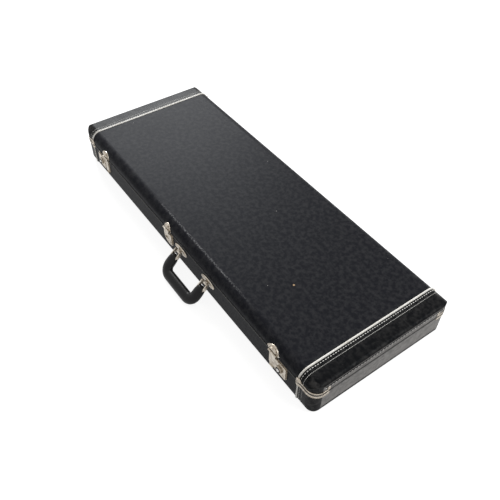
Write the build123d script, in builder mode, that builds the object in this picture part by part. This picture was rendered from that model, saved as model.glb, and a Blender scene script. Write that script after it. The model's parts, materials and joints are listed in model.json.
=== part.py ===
from build123d import *
import math
import os

os.makedirs("parts", exist_ok=True)

# Electric guitar case: a covered plywood base and lid, joined by hinges at the back and
# held by two spring latches and one lock at the front. Sizes are in millimetres.
# X runs along the case, the front with the handle looks towards -Y, and Z is up from the
# surface that the case lies on.

# The case as a whole
case_length = 1060.0
case_width = 390.4
base_height = 64.5
lid_height = 35.5
foot_height = 10.0
corner_radius = 25.0
shoulder_radius = 24.0
end_edge_radius = 8.0
bottom_radius = 6.0
tight_edge = 0.5
seam_gap = 0.4

# What the walls are made of
skin = 2.0
wall = 6.5
floor_board = 5.0
lip_board = 3.0
lip_stand = 8.0
fit_gap = 0.4
touch_gap = 0.3
run_gap = 0.05

# Piping between the middle covering and the smooth end caps
piping_from_end = 50.5
piping_radius = 2.2
piping_groove = 0.1

# Corner bands
band_thick = 1.2
band_height = 9.0
band_edge = 0.5
band_leg_front = 46.0
band_leg_end = 32.0
band_ear_height = 16.0
band_ear_width = 15.0

# Feet
foot_radius = 8.0
foot_tip_radius = 5.5
foot_edge = 1.5
foot_from_end = 18.0
foot_from_side = 27.0
odd_foot_y = -50.0

# Hinges at the back
hinge_spacing = 330.0
hinge_width = 64.0
hinge_leaf = 1.2
hinge_leaf_height = 20.0
hinge_lid_height = 12.0
barrel_radius = 3.5
hinge_pin_radius = 1.5
knuckle_gap = 0.2

# Side latches
latch_from_end = 134.0
latch_pin_radius = 1.1
latch_knuckle_radius = 2.3
latch_pin_out = 3.8
latch_pin_rise = 3.6
plate_thick = 1.2
plate_inner = 13.0
plate_outer = 49.0
plate_height = 42.0
plate_corner = 4.0
plate_drop = 0.6
housing_width = 38.0
housing_height = 38.0
housing_out = 4.4
housing_wall = 1.0
button_x = 28.0
button_radius = 9.5
button_travel = 5.0
button_out = 4.0
button_shank = 6.0
button_foot = 10.0
hasp_width = 19.4
hasp_thick = 1.5
hasp_reach = 50.0
hasp_lip = 2.2
staple_width = 4.0
staple_height = 5.0
staple_rise = 12.0
cap_half_width = 21.0
cap_foot_half = 13.3
cap_height = 23.5
cap_waist = 9.0
cap_dome = 3.6
cap_rise = 0.6
cap_rim = 3.0
cap_depth = 7.0
cap_taper = 15.0
dome_rise = 1.0

# Centre lock
lock_x = -45.5
lock_width = 46.0
lock_drop = 46.0
lock_hasp_width = 19.0
lock_hasp_x = -6.0
lock_hasp_reach = 31.0
lock_body_x = 12.0
lock_body_width = 15.0
lock_body_height = 36.0
lock_body_out = 4.4
cylinder_radius = 5.0
cylinder_drop = 29.0

# Handle and its fittings
handle_x = 76.0
handle_half_span = 62.0
handle_pivot_rise = 45.5
handle_pivot_out = 8.5
handle_reach = 60.5
handle_droop = 45.0
grip_width = 28.0
grip_thick = 21.0
grip_corner = 24.0
handle_plate_length = 56.0
handle_plate_height = 27.0
handle_plate_thick = 1.6
boss_half = 9.0
boss_radius = 6.0
bail_arm = 3.0
bail_radius = 4.6
bail_length = 17.0
bail_pin_radius = 2.0
shank_depth = 11.0

# Rivets
rivet_radius = 2.4
rivet_head = 1.0

# Lining, guitar bed and accessory compartment
lining = 3.0
lid_pad = 7.0
bed_drop = 3.0
body_start = 62.0
body_length = 430.0
body_width = 330.0
body_waist = 262.0
neck_width = 78.0
head_length = 240.0
head_width = 150.0
head_wall = 18.0
neck_rest_length = 60.0
neck_rest_x = -120.0
neck_rest_height = 24.0
box_wall = 4.0

# Places that follow from the sizes above
seam_z = foot_height + base_height
lid_z = seam_z + seam_gap
top_z = lid_z + lid_height
case_height = top_z - foot_height
droop = math.radians(handle_droop)
half_grip = math.hypot(grip_width / 2 * math.cos(droop), grip_thick / 2 * math.sin(droop))
front_reach = handle_pivot_out + handle_reach * math.cos(droop) + half_grip
back_reach = fit_gap + 2 * barrel_radius
case_y = (front_reach - back_reach) / 2
front_y = case_y - case_width / 2
back_y = case_y + case_width / 2
piping_x = case_length / 2 - piping_from_end
latch_x = case_length / 2 - latch_from_end
hinge_y = back_y + fit_gap + barrel_radius
hinge_z = seam_z + seam_gap / 2
pivot_z = foot_height + handle_pivot_rise
cavity_inset = skin + wall
floor_z = foot_height + skin + floor_board
ceiling_z = top_z - cavity_inset
lip_inset = cavity_inset + fit_gap
inside_inset = lip_inset + lip_board
lining_z = floor_z + lining
bed_z = seam_z - bed_drop
case_plane = Plane((0, case_y, 0))


def front_plane(out):
    # A plane parallel to the front face, so far in front of it, that looks outwards.
    return Plane.XZ.offset(out - front_y)


def outline(size, low, high, top, bottom, inset):
    # A face as wide as the size, from low to high, with rounded upper and lower corners.
    with BuildSketch() as face:
        with Locations((0, (low + high) / 2)):
            Rectangle(size, high - low)
        fillet(face.vertices().group_by(Axis.Y)[-1], max(top - inset, tight_edge))
        fillet(face.vertices().group_by(Axis.Y)[0], max(bottom - inset, tight_edge))
    return face.sketch


def case_block(inset):
    # The whole closed case, smaller by the inset on every side. Its plan, its cross-section
    # and its long side each have corner radii of their own.
    low = foot_height + inset
    high = top_z - inset
    length = case_length - 2 * inset
    width = case_width - 2 * inset
    section = outline(width, low, high, shoulder_radius, bottom_radius, inset)
    long_side = outline(length, low, high, end_edge_radius, bottom_radius, inset)
    with BuildPart() as block:
        with BuildSketch(case_plane.offset(low)):
            RectangleRounded(length, width, corner_radius - inset)
        extrude(amount=high - low)
        with BuildSketch(Plane((0, case_y, 0), x_dir=(0, 1, 0), z_dir=(1, 0, 0))):
            add(section)
        extrude(amount=length, both=True, mode=Mode.INTERSECT)
        with BuildSketch(Plane((0, case_y, 0), x_dir=(1, 0, 0), z_dir=(0, -1, 0))):
            add(long_side)
        extrude(amount=width, both=True, mode=Mode.INTERSECT)
    return block.part


def inside_block(inset, low, high):
    # An upright block with the plan of the inside of the case.
    with BuildPart() as block:
        with BuildSketch(case_plane.offset(low)):
            RectangleRounded(
                case_length - 2 * inset, case_width - 2 * inset, corner_radius - inset
            )
        extrude(amount=high - low)
    return block.part


outer_block = case_block(0)
wood_block = case_block(skin)
cavity_block = case_block(cavity_inset)
cap_block = case_block(-plate_thick)
dome_block = case_block(-plate_thick - cap_dome)

with BuildPart() as skin_hull:
    add(outer_block)
    add(wood_block, mode=Mode.SUBTRACT)


def finish(piece, name):
    piece.part.label = name
    export_step(piece.part, f"parts/{name}.step")


# Plywood base and lid, each a tray with one open side

with BuildPart() as base_shell:
    add(wood_block)
    split(bisect_by=Plane.XY.offset(seam_z), keep=Keep.BOTTOM)
    add(inside_block(cavity_inset, floor_z, top_z), mode=Mode.SUBTRACT)
finish(base_shell, "base_shell")

with BuildPart() as lid_shell:
    add(wood_block)
    split(bisect_by=Plane.XY.offset(lid_z), keep=Keep.TOP)
    add(cavity_block, mode=Mode.SUBTRACT)
finish(lid_shell, "lid_shell")


# Covering: a grained middle and a smooth cap at each end, parted by the piping

groove = piping_radius + piping_groove


def middle_cover(level, keep):
    with BuildPart() as cover:
        add(skin_hull.part)
        split(bisect_by=Plane.XY.offset(level), keep=keep)
        split(bisect_by=Plane.YZ.offset(piping_x - groove), keep=Keep.BOTTOM)
        split(bisect_by=Plane.YZ.offset(groove - piping_x), keep=Keep.TOP)
    return cover


def end_cap(level, keep, side):
    with BuildPart() as cap:
        add(skin_hull.part)
        split(bisect_by=Plane.XY.offset(level), keep=keep)
        if side > 0:
            split(bisect_by=Plane.YZ.offset(piping_x + groove), keep=Keep.TOP)
        else:
            split(bisect_by=Plane.YZ.offset(-piping_x - groove), keep=Keep.BOTTOM)
    return cap


bead_inset = skin - piping_radius


def piping(side, level, end_level, bend):
    # A round bead that lies on the wood and runs round the case's cross-section.
    near = front_y + bead_inset
    far = back_y - bead_inset
    with BuildPart() as bead:
        with BuildLine(Plane.YZ.offset(side * piping_x)) as route:
            FilletPolyline(
                (near, level), (near, end_level), (far, end_level), (far, level), radius=bend
            )
        with BuildSketch(Plane((side * piping_x, near, level), x_dir=(1, 0, 0), z_dir=(0, 0, 1))):
            Circle(piping_radius)
        sweep(path=route.line)
    return bead


finish(middle_cover(seam_z, Keep.BOTTOM), "base_cover")
finish(middle_cover(lid_z, Keep.TOP), "lid_cover")
for side, hand in ((-1, "left"), (1, "right")):
    finish(end_cap(seam_z, Keep.BOTTOM, side), f"base_end_cap_{hand}")
    finish(end_cap(lid_z, Keep.TOP, side), f"lid_end_cap_{hand}")
    base_bead = piping(side, seam_z, foot_height + bead_inset, bottom_radius - bead_inset)
    finish(base_bead, f"base_piping_{hand}")
    lid_bead = piping(side, lid_z, top_z - bead_inset, shoulder_radius - bead_inset)
    finish(lid_bead, f"lid_piping_{hand}")


# Corner bands: a steel strip round each upright corner, on both sides of the seam

def corner_bands(level, up):
    low = level if up > 0 else level - band_height
    ear_low = level if up > 0 else level - band_ear_height
    ear_x = case_length / 2 - band_leg_front + band_ear_width / 2
    with BuildPart() as bands:
        with BuildSketch(case_plane.offset(low)):
            RectangleRounded(
                case_length + 2 * band_thick,
                case_width + 2 * band_thick,
                corner_radius + band_thick,
            )
            RectangleRounded(case_length, case_width, corner_radius, mode=Mode.SUBTRACT)
            Rectangle(
                case_length - 2 * band_leg_front, 2 * case_width, mode=Mode.SUBTRACT
            )
            Rectangle(2 * case_length, case_width - 2 * band_leg_end, mode=Mode.SUBTRACT)
        extrude(amount=band_height)
        for plane in (front_plane(0), Plane.XZ.offset(-back_y - band_thick)):
            with BuildSketch(plane):
                with Locations(
                    (-ear_x, ear_low + band_ear_height / 2),
                    (ear_x, ear_low + band_ear_height / 2),
                ):
                    RectangleRounded(band_ear_width, band_ear_height, band_ear_width / 3)
            extrude(amount=band_thick)
    return bands


finish(corner_bands(seam_z - band_edge, -1), "base_corner_bands")
finish(corner_bands(lid_z + band_edge, 1), "lid_corner_bands")


# Rubber feet under the base

with BuildPart() as feet:
    with BuildSketch(Plane.XZ):
        with BuildLine():
            Polyline(
                (0, 0),
                (foot_tip_radius, 0),
                (foot_radius, foot_edge),
                (foot_radius, foot_height),
                (0, foot_height),
                (0, 0),
            )
        make_face()
    foot = revolve(axis=Axis.Z, mode=Mode.PRIVATE)
    foot_x = case_length / 2 - foot_from_end
    foot_y = case_width / 2 - foot_from_side
    with Locations(case_plane):
        with Locations(
            (-foot_x, -foot_y), (-foot_x, foot_y), (foot_x, -foot_y), (foot_x, foot_y),
            (-foot_x, odd_foot_y), (foot_x, odd_foot_y),
        ):
            add(foot)
finish(feet, "feet")


# Hinges: three pairs of leaves with a pin each

hinge_places = [-hinge_spacing, 0, hinge_spacing]
knuckle_length = hinge_width / 3


def hinge_leaves(up, bore):
    # Leaves that lie on the back face, with their knuckles rolled round the pin.
    near = barrel_radius + touch_gap
    low = hinge_z + near if up > 0 else hinge_z - hinge_leaf_height
    high = hinge_z + hinge_lid_height if up > 0 else hinge_z - near
    if up > 0:
        knuckles = [(-knuckle_length / 2 + knuckle_gap, knuckle_length / 2 - knuckle_gap)]
    else:
        knuckles = [
            (-hinge_width / 2, -knuckle_length / 2),
            (knuckle_length / 2, hinge_width / 2),
        ]
    with BuildPart() as leaves:
        for place in hinge_places:
            with BuildSketch(Plane.XZ.offset(-back_y)):
                with Locations((place, (low + high) / 2)):
                    RectangleRounded(hinge_width, high - low, 1.5)
            extrude(amount=-hinge_leaf)
            for start, end in knuckles:
                with BuildSketch(Plane.XZ.offset(-back_y)):
                    with Locations((place + (start + end) / 2, hinge_z + up * near / 2)):
                        Rectangle(end - start, near + 1.0)
                extrude(amount=-hinge_leaf)
                with BuildSketch(Plane.YZ.offset(place + start)):
                    with Locations((hinge_y, hinge_z)):
                        Circle(barrel_radius)
                extrude(amount=end - start)
                with BuildSketch(Plane.YZ.offset(place + start - 1)):
                    with Locations((hinge_y, hinge_z)):
                        Circle(bore)
                extrude(amount=end - start + 2, mode=Mode.SUBTRACT)
    return leaves


finish(hinge_leaves(-1, hinge_pin_radius), "hinge_base_leaves")
finish(hinge_leaves(1, hinge_pin_radius + run_gap), "hinge_lid_leaves")

with BuildPart() as hinge_pins:
    for place in hinge_places:
        with BuildSketch(Plane.YZ.offset(place - hinge_width / 2)):
            with Locations((hinge_y, hinge_z)):
                Circle(hinge_pin_radius)
        extrude(amount=hinge_width)
finish(hinge_pins, "hinge_pins")


# Side latches: a lock housing on the base, and on the lid a cap that carries the hasp

hasp_pin_z = lid_z + latch_pin_rise


def latch_plate(side):
    centre = side * (latch_x + (plate_outer - plate_inner) / 2)
    middle_z = seam_z - plate_drop - plate_height / 2
    housing_x = side * (latch_x + plate_outer - housing_width / 2 - 1)
    shank_x = side * (latch_x + button_x + button_travel / 2)
    with BuildPart() as plate:
        with BuildSketch(front_plane(0)):
            with Locations((centre, middle_z)):
                RectangleRounded(plate_outer + plate_inner, plate_height, plate_corner)
        extrude(amount=plate_thick)
        with BuildSketch(front_plane(0)):
            with Locations((housing_x, middle_z)):
                RectangleRounded(housing_width, housing_height, plate_corner)
        extrude(amount=housing_out)
        fillet(plate.faces().sort_by(Axis.Y)[0].edges(), housing_wall)
        with BuildSketch(front_plane(plate_thick)):
            with Locations((housing_x, middle_z)):
                Rectangle(
                    housing_width - 4 * housing_wall, housing_height - 4 * housing_wall
                )
        extrude(amount=housing_out - plate_thick - housing_wall, mode=Mode.SUBTRACT)
        with BuildSketch(front_plane(plate_thick)):
            with Locations((shank_x, middle_z)):
                SlotOverall(
                    button_shank + button_travel + 2 * fit_gap, button_shank + 2 * fit_gap
                )
        extrude(amount=housing_out, mode=Mode.SUBTRACT)
        with BuildSketch(front_plane(0)):
            with Locations((side * latch_x, middle_z + staple_rise)):
                Rectangle(staple_width + 2, plate_height)
        extrude(amount=plate_thick, mode=Mode.SUBTRACT)
    return plate


def latch_button(side):
    # A dished knob on a shank, held behind the housing by its foot.
    middle_z = seam_z - plate_drop - plate_height / 2
    centre = (side * (latch_x + button_x), middle_z)
    with BuildPart() as button:
        with BuildSketch(front_plane(housing_out + touch_gap)):
            with Locations(centre):
                Circle(button_radius)
        extrude(amount=button_out)
        fillet(button.faces().sort_by(Axis.Y)[0].edges(), 1.2)
        with BuildSketch(front_plane(plate_thick + touch_gap)):
            with Locations(centre):
                Circle(button_shank / 2)
        extrude(amount=housing_out - plate_thick + touch_gap)
        with BuildSketch(front_plane(plate_thick + touch_gap)):
            with Locations(centre):
                Rectangle(button_foot, button_foot)
        extrude(amount=housing_out - housing_wall - plate_thick - 2 * touch_gap)
        with BuildSketch(front_plane(housing_out + touch_gap + button_out)):
            with Locations(centre):
                Circle(button_radius - 2.5)
        extrude(amount=-1.0, mode=Mode.SUBTRACT)
    return button


def cap_crown(centre, half_width, low, high):
    # The raised dome of a cap, which follows the shoulder of the lid.
    with BuildPart() as crown:
        with BuildSketch(front_plane(-cap_depth)):
            with BuildLine():
                Line((centre - half_width, low), (centre + half_width, low))
                ThreePointArc(
                    (centre + half_width, low), (centre, high), (centre - half_width, low)
                )
            make_face()
        extrude(amount=cap_depth + plate_thick + 2 * cap_dome, taper=cap_taper)
        add(dome_block, mode=Mode.INTERSECT)
        add(outer_block, mode=Mode.SUBTRACT)
    return crown.part


def lid_cap(centre, half_width, foot_half, height, knuckle_half, hasp_x):
    # A spade-shaped plate that wraps the shoulder, with a dome above the ears of the pin.
    ear = foot_half - knuckle_half - touch_gap
    waist_z = lid_z + cap_rise + cap_waist
    crown_z = lid_z + cap_rise + height
    crown = cap_crown(centre, half_width - cap_rim, waist_z + dome_rise, crown_z - cap_rim)
    with BuildPart() as cap:
        with BuildSketch(front_plane(-cap_depth)):
            with BuildLine():
                Polyline(
                    (centre - half_width, waist_z),
                    (centre - foot_half, lid_z + cap_rise),
                    (centre + foot_half, lid_z + cap_rise),
                    (centre + half_width, waist_z),
                )
                ThreePointArc(
                    (centre + half_width, waist_z),
                    (centre, crown_z),
                    (centre - half_width, waist_z),
                )
            make_face()
        extrude(amount=cap_depth + plate_thick)
        add(cap_block, mode=Mode.INTERSECT)
        add(outer_block, mode=Mode.SUBTRACT)
        add(crown)
        for side in (-1, 1):
            start = centre + hasp_x + side * (knuckle_half + touch_gap + ear / 2) - ear / 2
            with BuildSketch(Plane.YZ.offset(start)):
                with Locations((front_y - latch_pin_out, hasp_pin_z)):
                    Circle(latch_knuckle_radius)
                with Locations((front_y - latch_pin_out / 2, hasp_pin_z)):
                    Rectangle(latch_pin_out, 2 * latch_knuckle_radius)
            extrude(amount=ear)
            with BuildSketch(Plane.YZ.offset(start - 1)):
                with Locations((front_y - latch_pin_out, hasp_pin_z)):
                    Circle(latch_pin_radius)
            extrude(amount=ear + 2, mode=Mode.SUBTRACT)
    return cap


def hasp(centre, width, reach, staple_z):
    # A flat tongue that hangs from its pin over the plate below, with a lip to lift it by.
    inner = latch_pin_out - latch_knuckle_radius
    half = width / 2
    with BuildPart() as tongue:
        with BuildSketch(Plane.YZ.offset(centre - half)):
            with Locations((front_y - latch_pin_out, hasp_pin_z)):
                Circle(latch_knuckle_radius)
        extrude(amount=width)
        with BuildSketch(front_plane(inner)):
            with BuildLine():
                Polyline(
                    (centre - half, hasp_pin_z),
                    (centre - half, hasp_pin_z - reach * 0.75),
                    (centre - half * 0.72, hasp_pin_z - reach),
                    (centre + half * 0.72, hasp_pin_z - reach),
                    (centre + half, hasp_pin_z - reach * 0.75),
                    (centre + half, hasp_pin_z),
                    (centre - half, hasp_pin_z),
                )
            make_face()
        extrude(amount=hasp_thick)
        with BuildSketch(front_plane(inner)):
            with Locations((centre, hasp_pin_z - reach + 1)):
                Rectangle(width * 0.66, 2)
        extrude(amount=hasp_thick + hasp_lip)
        with BuildSketch(front_plane(touch_gap)):
            with Locations((centre, staple_z)):
                Rectangle(staple_width, staple_height)
        extrude(amount=inner - touch_gap + 0.2)
        with BuildSketch(Plane.YZ.offset(centre - half - 1)):
            with Locations((front_y - latch_pin_out, hasp_pin_z)):
                Circle(latch_pin_radius + run_gap)
        extrude(amount=width + 2, mode=Mode.SUBTRACT)
    return tongue


staple_z = seam_z - plate_drop - plate_height + staple_rise + staple_height
for side, hand in ((-1, "left"), (1, "right")):
    finish(latch_plate(side), f"latch_{hand}_plate")
    finish(latch_button(side), f"latch_{hand}_button")
    cap = lid_cap(side * latch_x, cap_half_width, cap_foot_half, cap_height, hasp_width / 2, 0)
    finish(cap, f"latch_{hand}_cap")
    finish(hasp(side * latch_x, hasp_width, hasp_reach, staple_z), f"latch_{hand}_hasp")


# Centre lock: the same hasp beside a lock body with a key cylinder

lock_top = seam_z - plate_drop
cylinder_place = (lock_x + lock_body_x, lock_top - cylinder_drop)

with BuildPart() as lock_plate:
    with BuildSketch(front_plane(0)):
        with BuildLine():
            Line((lock_x - lock_width / 2, lock_top), (lock_x + lock_width / 2, lock_top))
            Line(
                (lock_x + lock_width / 2, lock_top),
                (lock_x + lock_width / 2, lock_top - lock_drop + lock_width / 2),
            )
            ThreePointArc(
                (lock_x + lock_width / 2, lock_top - lock_drop + lock_width / 2),
                (lock_x, lock_top - lock_drop),
                (lock_x - lock_width / 2, lock_top - lock_drop + lock_width / 2),
            )
            Line(
                (lock_x - lock_width / 2, lock_top - lock_drop + lock_width / 2),
                (lock_x - lock_width / 2, lock_top),
            )
        make_face()
    extrude(amount=plate_thick)
    with BuildSketch(front_plane(0)):
        with Locations((lock_x + lock_body_x, lock_top - 2 - lock_body_height / 2)):
            RectangleRounded(lock_body_width, lock_body_height, lock_body_width / 2 - 0.2)
    extrude(amount=lock_body_out)
    fillet(lock_plate.faces().sort_by(Axis.Y)[0].edges(), housing_wall)
    with BuildSketch(front_plane(plate_thick)):
        with Locations(cylinder_place):
            Circle(cylinder_radius + run_gap)
    extrude(amount=lock_body_out, mode=Mode.SUBTRACT)
    with BuildSketch(front_plane(0)):
        with Locations((lock_x + lock_hasp_x, lock_top - lock_hasp_reach / 2 + 6)):
            Rectangle(staple_width + 2, lock_hasp_reach)
    extrude(amount=plate_thick, mode=Mode.SUBTRACT)
finish(lock_plate, "lock_plate")

with BuildPart() as lock_cylinder:
    with BuildSketch(front_plane(plate_thick)):
        with Locations(cylinder_place):
            Circle(cylinder_radius)
    extrude(amount=lock_body_out - plate_thick + 0.6)
    with BuildSketch(front_plane(plate_thick + 1)):
        with Locations(cylinder_place):
            Rectangle(1.4, cylinder_radius * 1.3)
    extrude(amount=lock_body_out, mode=Mode.SUBTRACT)
finish(lock_cylinder, "lock_cylinder")

finish(
    lid_cap(
        lock_x, lock_width / 2, lock_width / 2 - 2, cap_height,
        lock_hasp_width / 2, lock_hasp_x,
    ),
    "lock_cap",
)
lock_staple_z = lock_top - lock_hasp_reach + 6 + 10
finish(
    hasp(lock_x + lock_hasp_x, lock_hasp_width, lock_hasp_reach, lock_staple_z), "lock_hasp"
)

with BuildPart() as hasp_pins:
    pin_spans = [
        (-latch_x, cap_foot_half),
        (latch_x, cap_foot_half),
        (lock_x + lock_hasp_x, lock_hasp_width / 2 + touch_gap + 3),
    ]
    for centre, half in pin_spans:
        with BuildSketch(Plane.YZ.offset(centre - half)):
            with Locations((front_y - latch_pin_out, hasp_pin_z)):
                Circle(latch_pin_radius)
        extrude(amount=2 * half)
finish(hasp_pins, "hasp_pins")


# Handle fittings: an oval plate with a boss at each end of the handle

handle_places = [handle_x - handle_half_span, handle_x + handle_half_span]
pivot_y = front_y - handle_pivot_out

with BuildPart() as handle_plates:
    for place in handle_places:
        with BuildSketch(front_plane(0)):
            with Locations((place, pivot_z)):
                Ellipse(handle_plate_length / 2, handle_plate_height / 2)
        extrude(amount=handle_plate_thick)
        with BuildSketch(Plane.YZ.offset(place - boss_half)):
            with Locations((pivot_y, pivot_z)):
                Circle(boss_radius - 1.5)
            with BuildLine():
                Polyline(
                    (front_y, pivot_z - boss_radius - 1),
                    (pivot_y, pivot_z - boss_radius + 1.5),
                    (pivot_y, pivot_z + boss_radius - 1.5),
                    (front_y, pivot_z + boss_radius + 1),
                    (front_y, pivot_z - boss_radius - 1),
                )
            make_face()
        extrude(amount=2 * boss_half)
        with BuildSketch(Plane.YZ.offset(place - boss_half - 1)):
            with Locations((pivot_y, pivot_z)):
                Circle(bail_pin_radius)
        extrude(amount=2 * boss_half + 2, mode=Mode.SUBTRACT)
finish(handle_plates, "handle_plates")

arm_start = boss_half + touch_gap
pin_half = arm_start + bail_arm

with BuildPart() as handle_pivot_pins:
    for place in handle_places:
        with BuildSketch(Plane.YZ.offset(place - pin_half)):
            with Locations((pivot_y, pivot_z)):
                Circle(bail_pin_radius)
        extrude(amount=2 * pin_half)
finish(handle_pivot_pins, "handle_pivot_pins")

reach_y = -math.cos(droop)
reach_z = -math.sin(droop)


def along(distance):
    # A point on the handle's middle plane, so far from its pivot, as (y, z).
    return (pivot_y + distance * reach_y, pivot_z + distance * reach_z)


with BuildPart() as handle_bails:
    for place in handle_places:
        for side in (-1, 1):
            start = place + side * (arm_start + bail_arm / 2) - bail_arm / 2
            with BuildSketch(Plane.YZ.offset(start)):
                with Locations(along(0), along(bail_length)):
                    Circle(bail_radius)
                make_hull()
            extrude(amount=bail_arm)
            with BuildSketch(Plane.YZ.offset(start - 1)):
                with Locations(along(0)):
                    Circle(bail_pin_radius + run_gap)
                with Locations(along(bail_length)):
                    Circle(bail_pin_radius)
            extrude(amount=bail_arm + 2, mode=Mode.SUBTRACT)
finish(handle_bails, "handle_bails")

with BuildPart() as handle_end_pins:
    for place in handle_places:
        with BuildSketch(Plane.YZ.offset(place - pin_half)):
            with Locations(along(bail_length)):
                Circle(bail_pin_radius)
        extrude(amount=2 * pin_half)
finish(handle_end_pins, "handle_end_pins")

# The handle's middle plane: X along the case, Y away from the pivot
handle_plane = Plane(
    (handle_x, pivot_y, pivot_z), x_dir=(1, 0, 0), z_dir=(0, math.sin(droop), -math.cos(droop))
)
flip = 1 if handle_plane.y_dir.Z < 0 else -1

with BuildPart() as handle_grip:
    with BuildLine(handle_plane) as grip_route:
        FilletPolyline(
            (-handle_half_span, flip * (bail_length + bail_radius)),
            (-handle_half_span, flip * handle_reach),
            (handle_half_span, flip * handle_reach),
            (handle_half_span, flip * (bail_length + bail_radius)),
            radius=grip_corner,
        )
    with BuildSketch(
        Plane(
            grip_route.line @ 0, x_dir=(1, 0, 0), z_dir=grip_route.line % 0
        )
    ):
        Ellipse(grip_width / 2, grip_thick / 2)
    sweep(path=grip_route.line)
    for place in (-handle_half_span, handle_half_span):
        with BuildSketch(handle_plane):
            with Locations((place, flip * (bail_length + bail_radius) / 2 + flip * 6)):
                Rectangle(2 * boss_half, bail_length + bail_radius - 8)
        extrude(amount=shank_depth / 2, both=True)
    for place in handle_places:
        with BuildSketch(Plane.YZ.offset(place - boss_half - 1)):
            with Locations(along(bail_length)):
                Circle(bail_pin_radius)
        extrude(amount=2 * boss_half + 2, mode=Mode.SUBTRACT)
finish(handle_grip, "handle_grip")


# Rivets that hold the plates, bands and caps

def rivets(places):
    with BuildPart() as heads:
        for x, z, out in places:
            with BuildSketch(front_plane(out)):
                with Locations((x, z)):
                    Circle(rivet_radius)
            extrude(amount=rivet_head, taper=25)
    return heads


ear_x = case_length / 2 - band_leg_front + band_ear_width / 2
base_ear_z = seam_z - band_edge - band_ear_height + band_ear_width / 2
lid_ear_z = lid_z + band_edge + band_ear_height - band_ear_width / 2
plate_low = seam_z - plate_drop - plate_height
base_rivet_places = [
    (-ear_x, base_ear_z, band_thick),
    (ear_x, base_ear_z, band_thick),
]
for place in handle_places:
    for side in (-1, 1):
        rivet_x = place + side * handle_plate_length * 0.36
        base_rivet_places.append((rivet_x, pivot_z, handle_plate_thick))
base_rivet_places.append((lock_x - 5, lock_top - lock_drop + 5.5, plate_thick))
finish(rivets(base_rivet_places), "base_rivets")
finish(rivets([(-ear_x, lid_ear_z, band_thick), (ear_x, lid_ear_z, band_thick)]), "lid_rivets")


# Lining: a lip board round the base, a pile-covered floor and a pad in the lid

with BuildPart() as base_lip:
    add(inside_block(lip_inset, floor_z, seam_z + lip_stand))
    add(inside_block(inside_inset, floor_z, top_z), mode=Mode.SUBTRACT)
finish(base_lip, "base_lip")

with BuildPart() as base_lining:
    add(inside_block(inside_inset, floor_z, lining_z))
finish(base_lining, "base_lining")

with BuildPart() as lid_lining:
    add(cavity_block)
    split(bisect_by=Plane.XY.offset(ceiling_z - lid_pad), keep=Keep.TOP)
finish(lid_lining, "lid_lining")


# Guitar bed: foam blocks round the body, the neck and the head

bed_inset = inside_inset
half_length = case_length / 2 - bed_inset
half_width = case_width / 2 - bed_inset
body_middle = body_start + body_length / 2
body_end = body_start + body_length
head_start = -case_length / 2 + bed_inset + head_wall
head_end = head_start + head_length

with BuildPart() as body_bed:
    with BuildSketch(case_plane.offset(lining_z)):
        with Locations(((body_start - 12 + half_length) / 2, 0)):
            Rectangle(half_length - body_start + 12, 2 * half_width)
        RectangleRounded(
            case_length - 2 * bed_inset,
            case_width - 2 * bed_inset,
            corner_radius - bed_inset,
            mode=Mode.INTERSECT,
        )
        with BuildLine():
            Spline(
                (body_start, 0),
                (body_start + 45, body_width / 2 - 22),
                (body_middle - 10, body_waist / 2),
                (body_end - 110, body_width / 2),
                (body_end, 0),
                (body_end - 110, -body_width / 2),
                (body_middle - 10, -body_waist / 2),
                (body_start + 45, -body_width / 2 + 22),
                periodic=True,
            )
        make_face(mode=Mode.SUBTRACT)
        with Locations((body_start, 0)):
            Rectangle(60, neck_width, mode=Mode.SUBTRACT)
    extrude(amount=bed_z - lining_z)
finish(body_bed, "body_bed")

with BuildPart() as head_bed:
    with BuildSketch(case_plane.offset(lining_z)):
        with Locations(((head_end - half_length) / 2, 0)):
            Rectangle(head_end + half_length, 2 * half_width)
        RectangleRounded(
            case_length - 2 * bed_inset,
            case_width - 2 * bed_inset,
            corner_radius - bed_inset,
            mode=Mode.INTERSECT,
        )
        with Locations(((head_start + head_end) / 2 - 15, 0)):
            RectangleRounded(head_length - 30, head_width, 30, mode=Mode.SUBTRACT)
        with Locations((head_end, 0)):
            Rectangle(80, neck_width, mode=Mode.SUBTRACT)
    extrude(amount=bed_z - lining_z)
finish(head_bed, "head_bed")

# Between head and body: a pad behind the neck, the accessory box in front of it
bay_start = head_end + touch_gap
bay_end = body_start - 12 - touch_gap
bay_length = bay_end - bay_start
bay_middle = (bay_start + bay_end) / 2
side_depth = half_width - neck_width / 2

with BuildPart() as neck_side_pad:
    with BuildSketch(case_plane.offset(lining_z)):
        with Locations((bay_middle, half_width - side_depth / 2)):
            Rectangle(bay_length, side_depth)
    extrude(amount=bed_z - lining_z)
finish(neck_side_pad, "neck_side_pad")

with BuildPart() as neck_rest:
    with BuildSketch(Plane.YZ.offset(neck_rest_x - neck_rest_length / 2)):
        with Locations((case_y, lining_z + neck_rest_height / 2)):
            Rectangle(neck_width - 2 * touch_gap, neck_rest_height)
        with Locations((case_y, lining_z + neck_rest_height + 22)):
            Circle(30, mode=Mode.SUBTRACT)
    extrude(amount=neck_rest_length)
finish(neck_rest, "neck_rest")

box_low = -half_width
box_high = -neck_width / 2
box_middle = (box_low + box_high) / 2
box_top = bed_z

with BuildPart() as accessory_box:
    with BuildSketch(case_plane.offset(lining_z)):
        with Locations((bay_middle, box_middle)):
            Rectangle(bay_length, side_depth)
    extrude(amount=box_top - lining_z)
    with BuildSketch(case_plane.offset(lining_z + box_wall)):
        with Locations((bay_middle, box_middle)):
            Rectangle(bay_length - 2 * box_wall, side_depth - 2 * box_wall)
    extrude(amount=box_top, mode=Mode.SUBTRACT)
finish(accessory_box, "accessory_box")
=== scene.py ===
import json
import math

import bmesh
import bpy
from mathutils import Matrix, Vector


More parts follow.
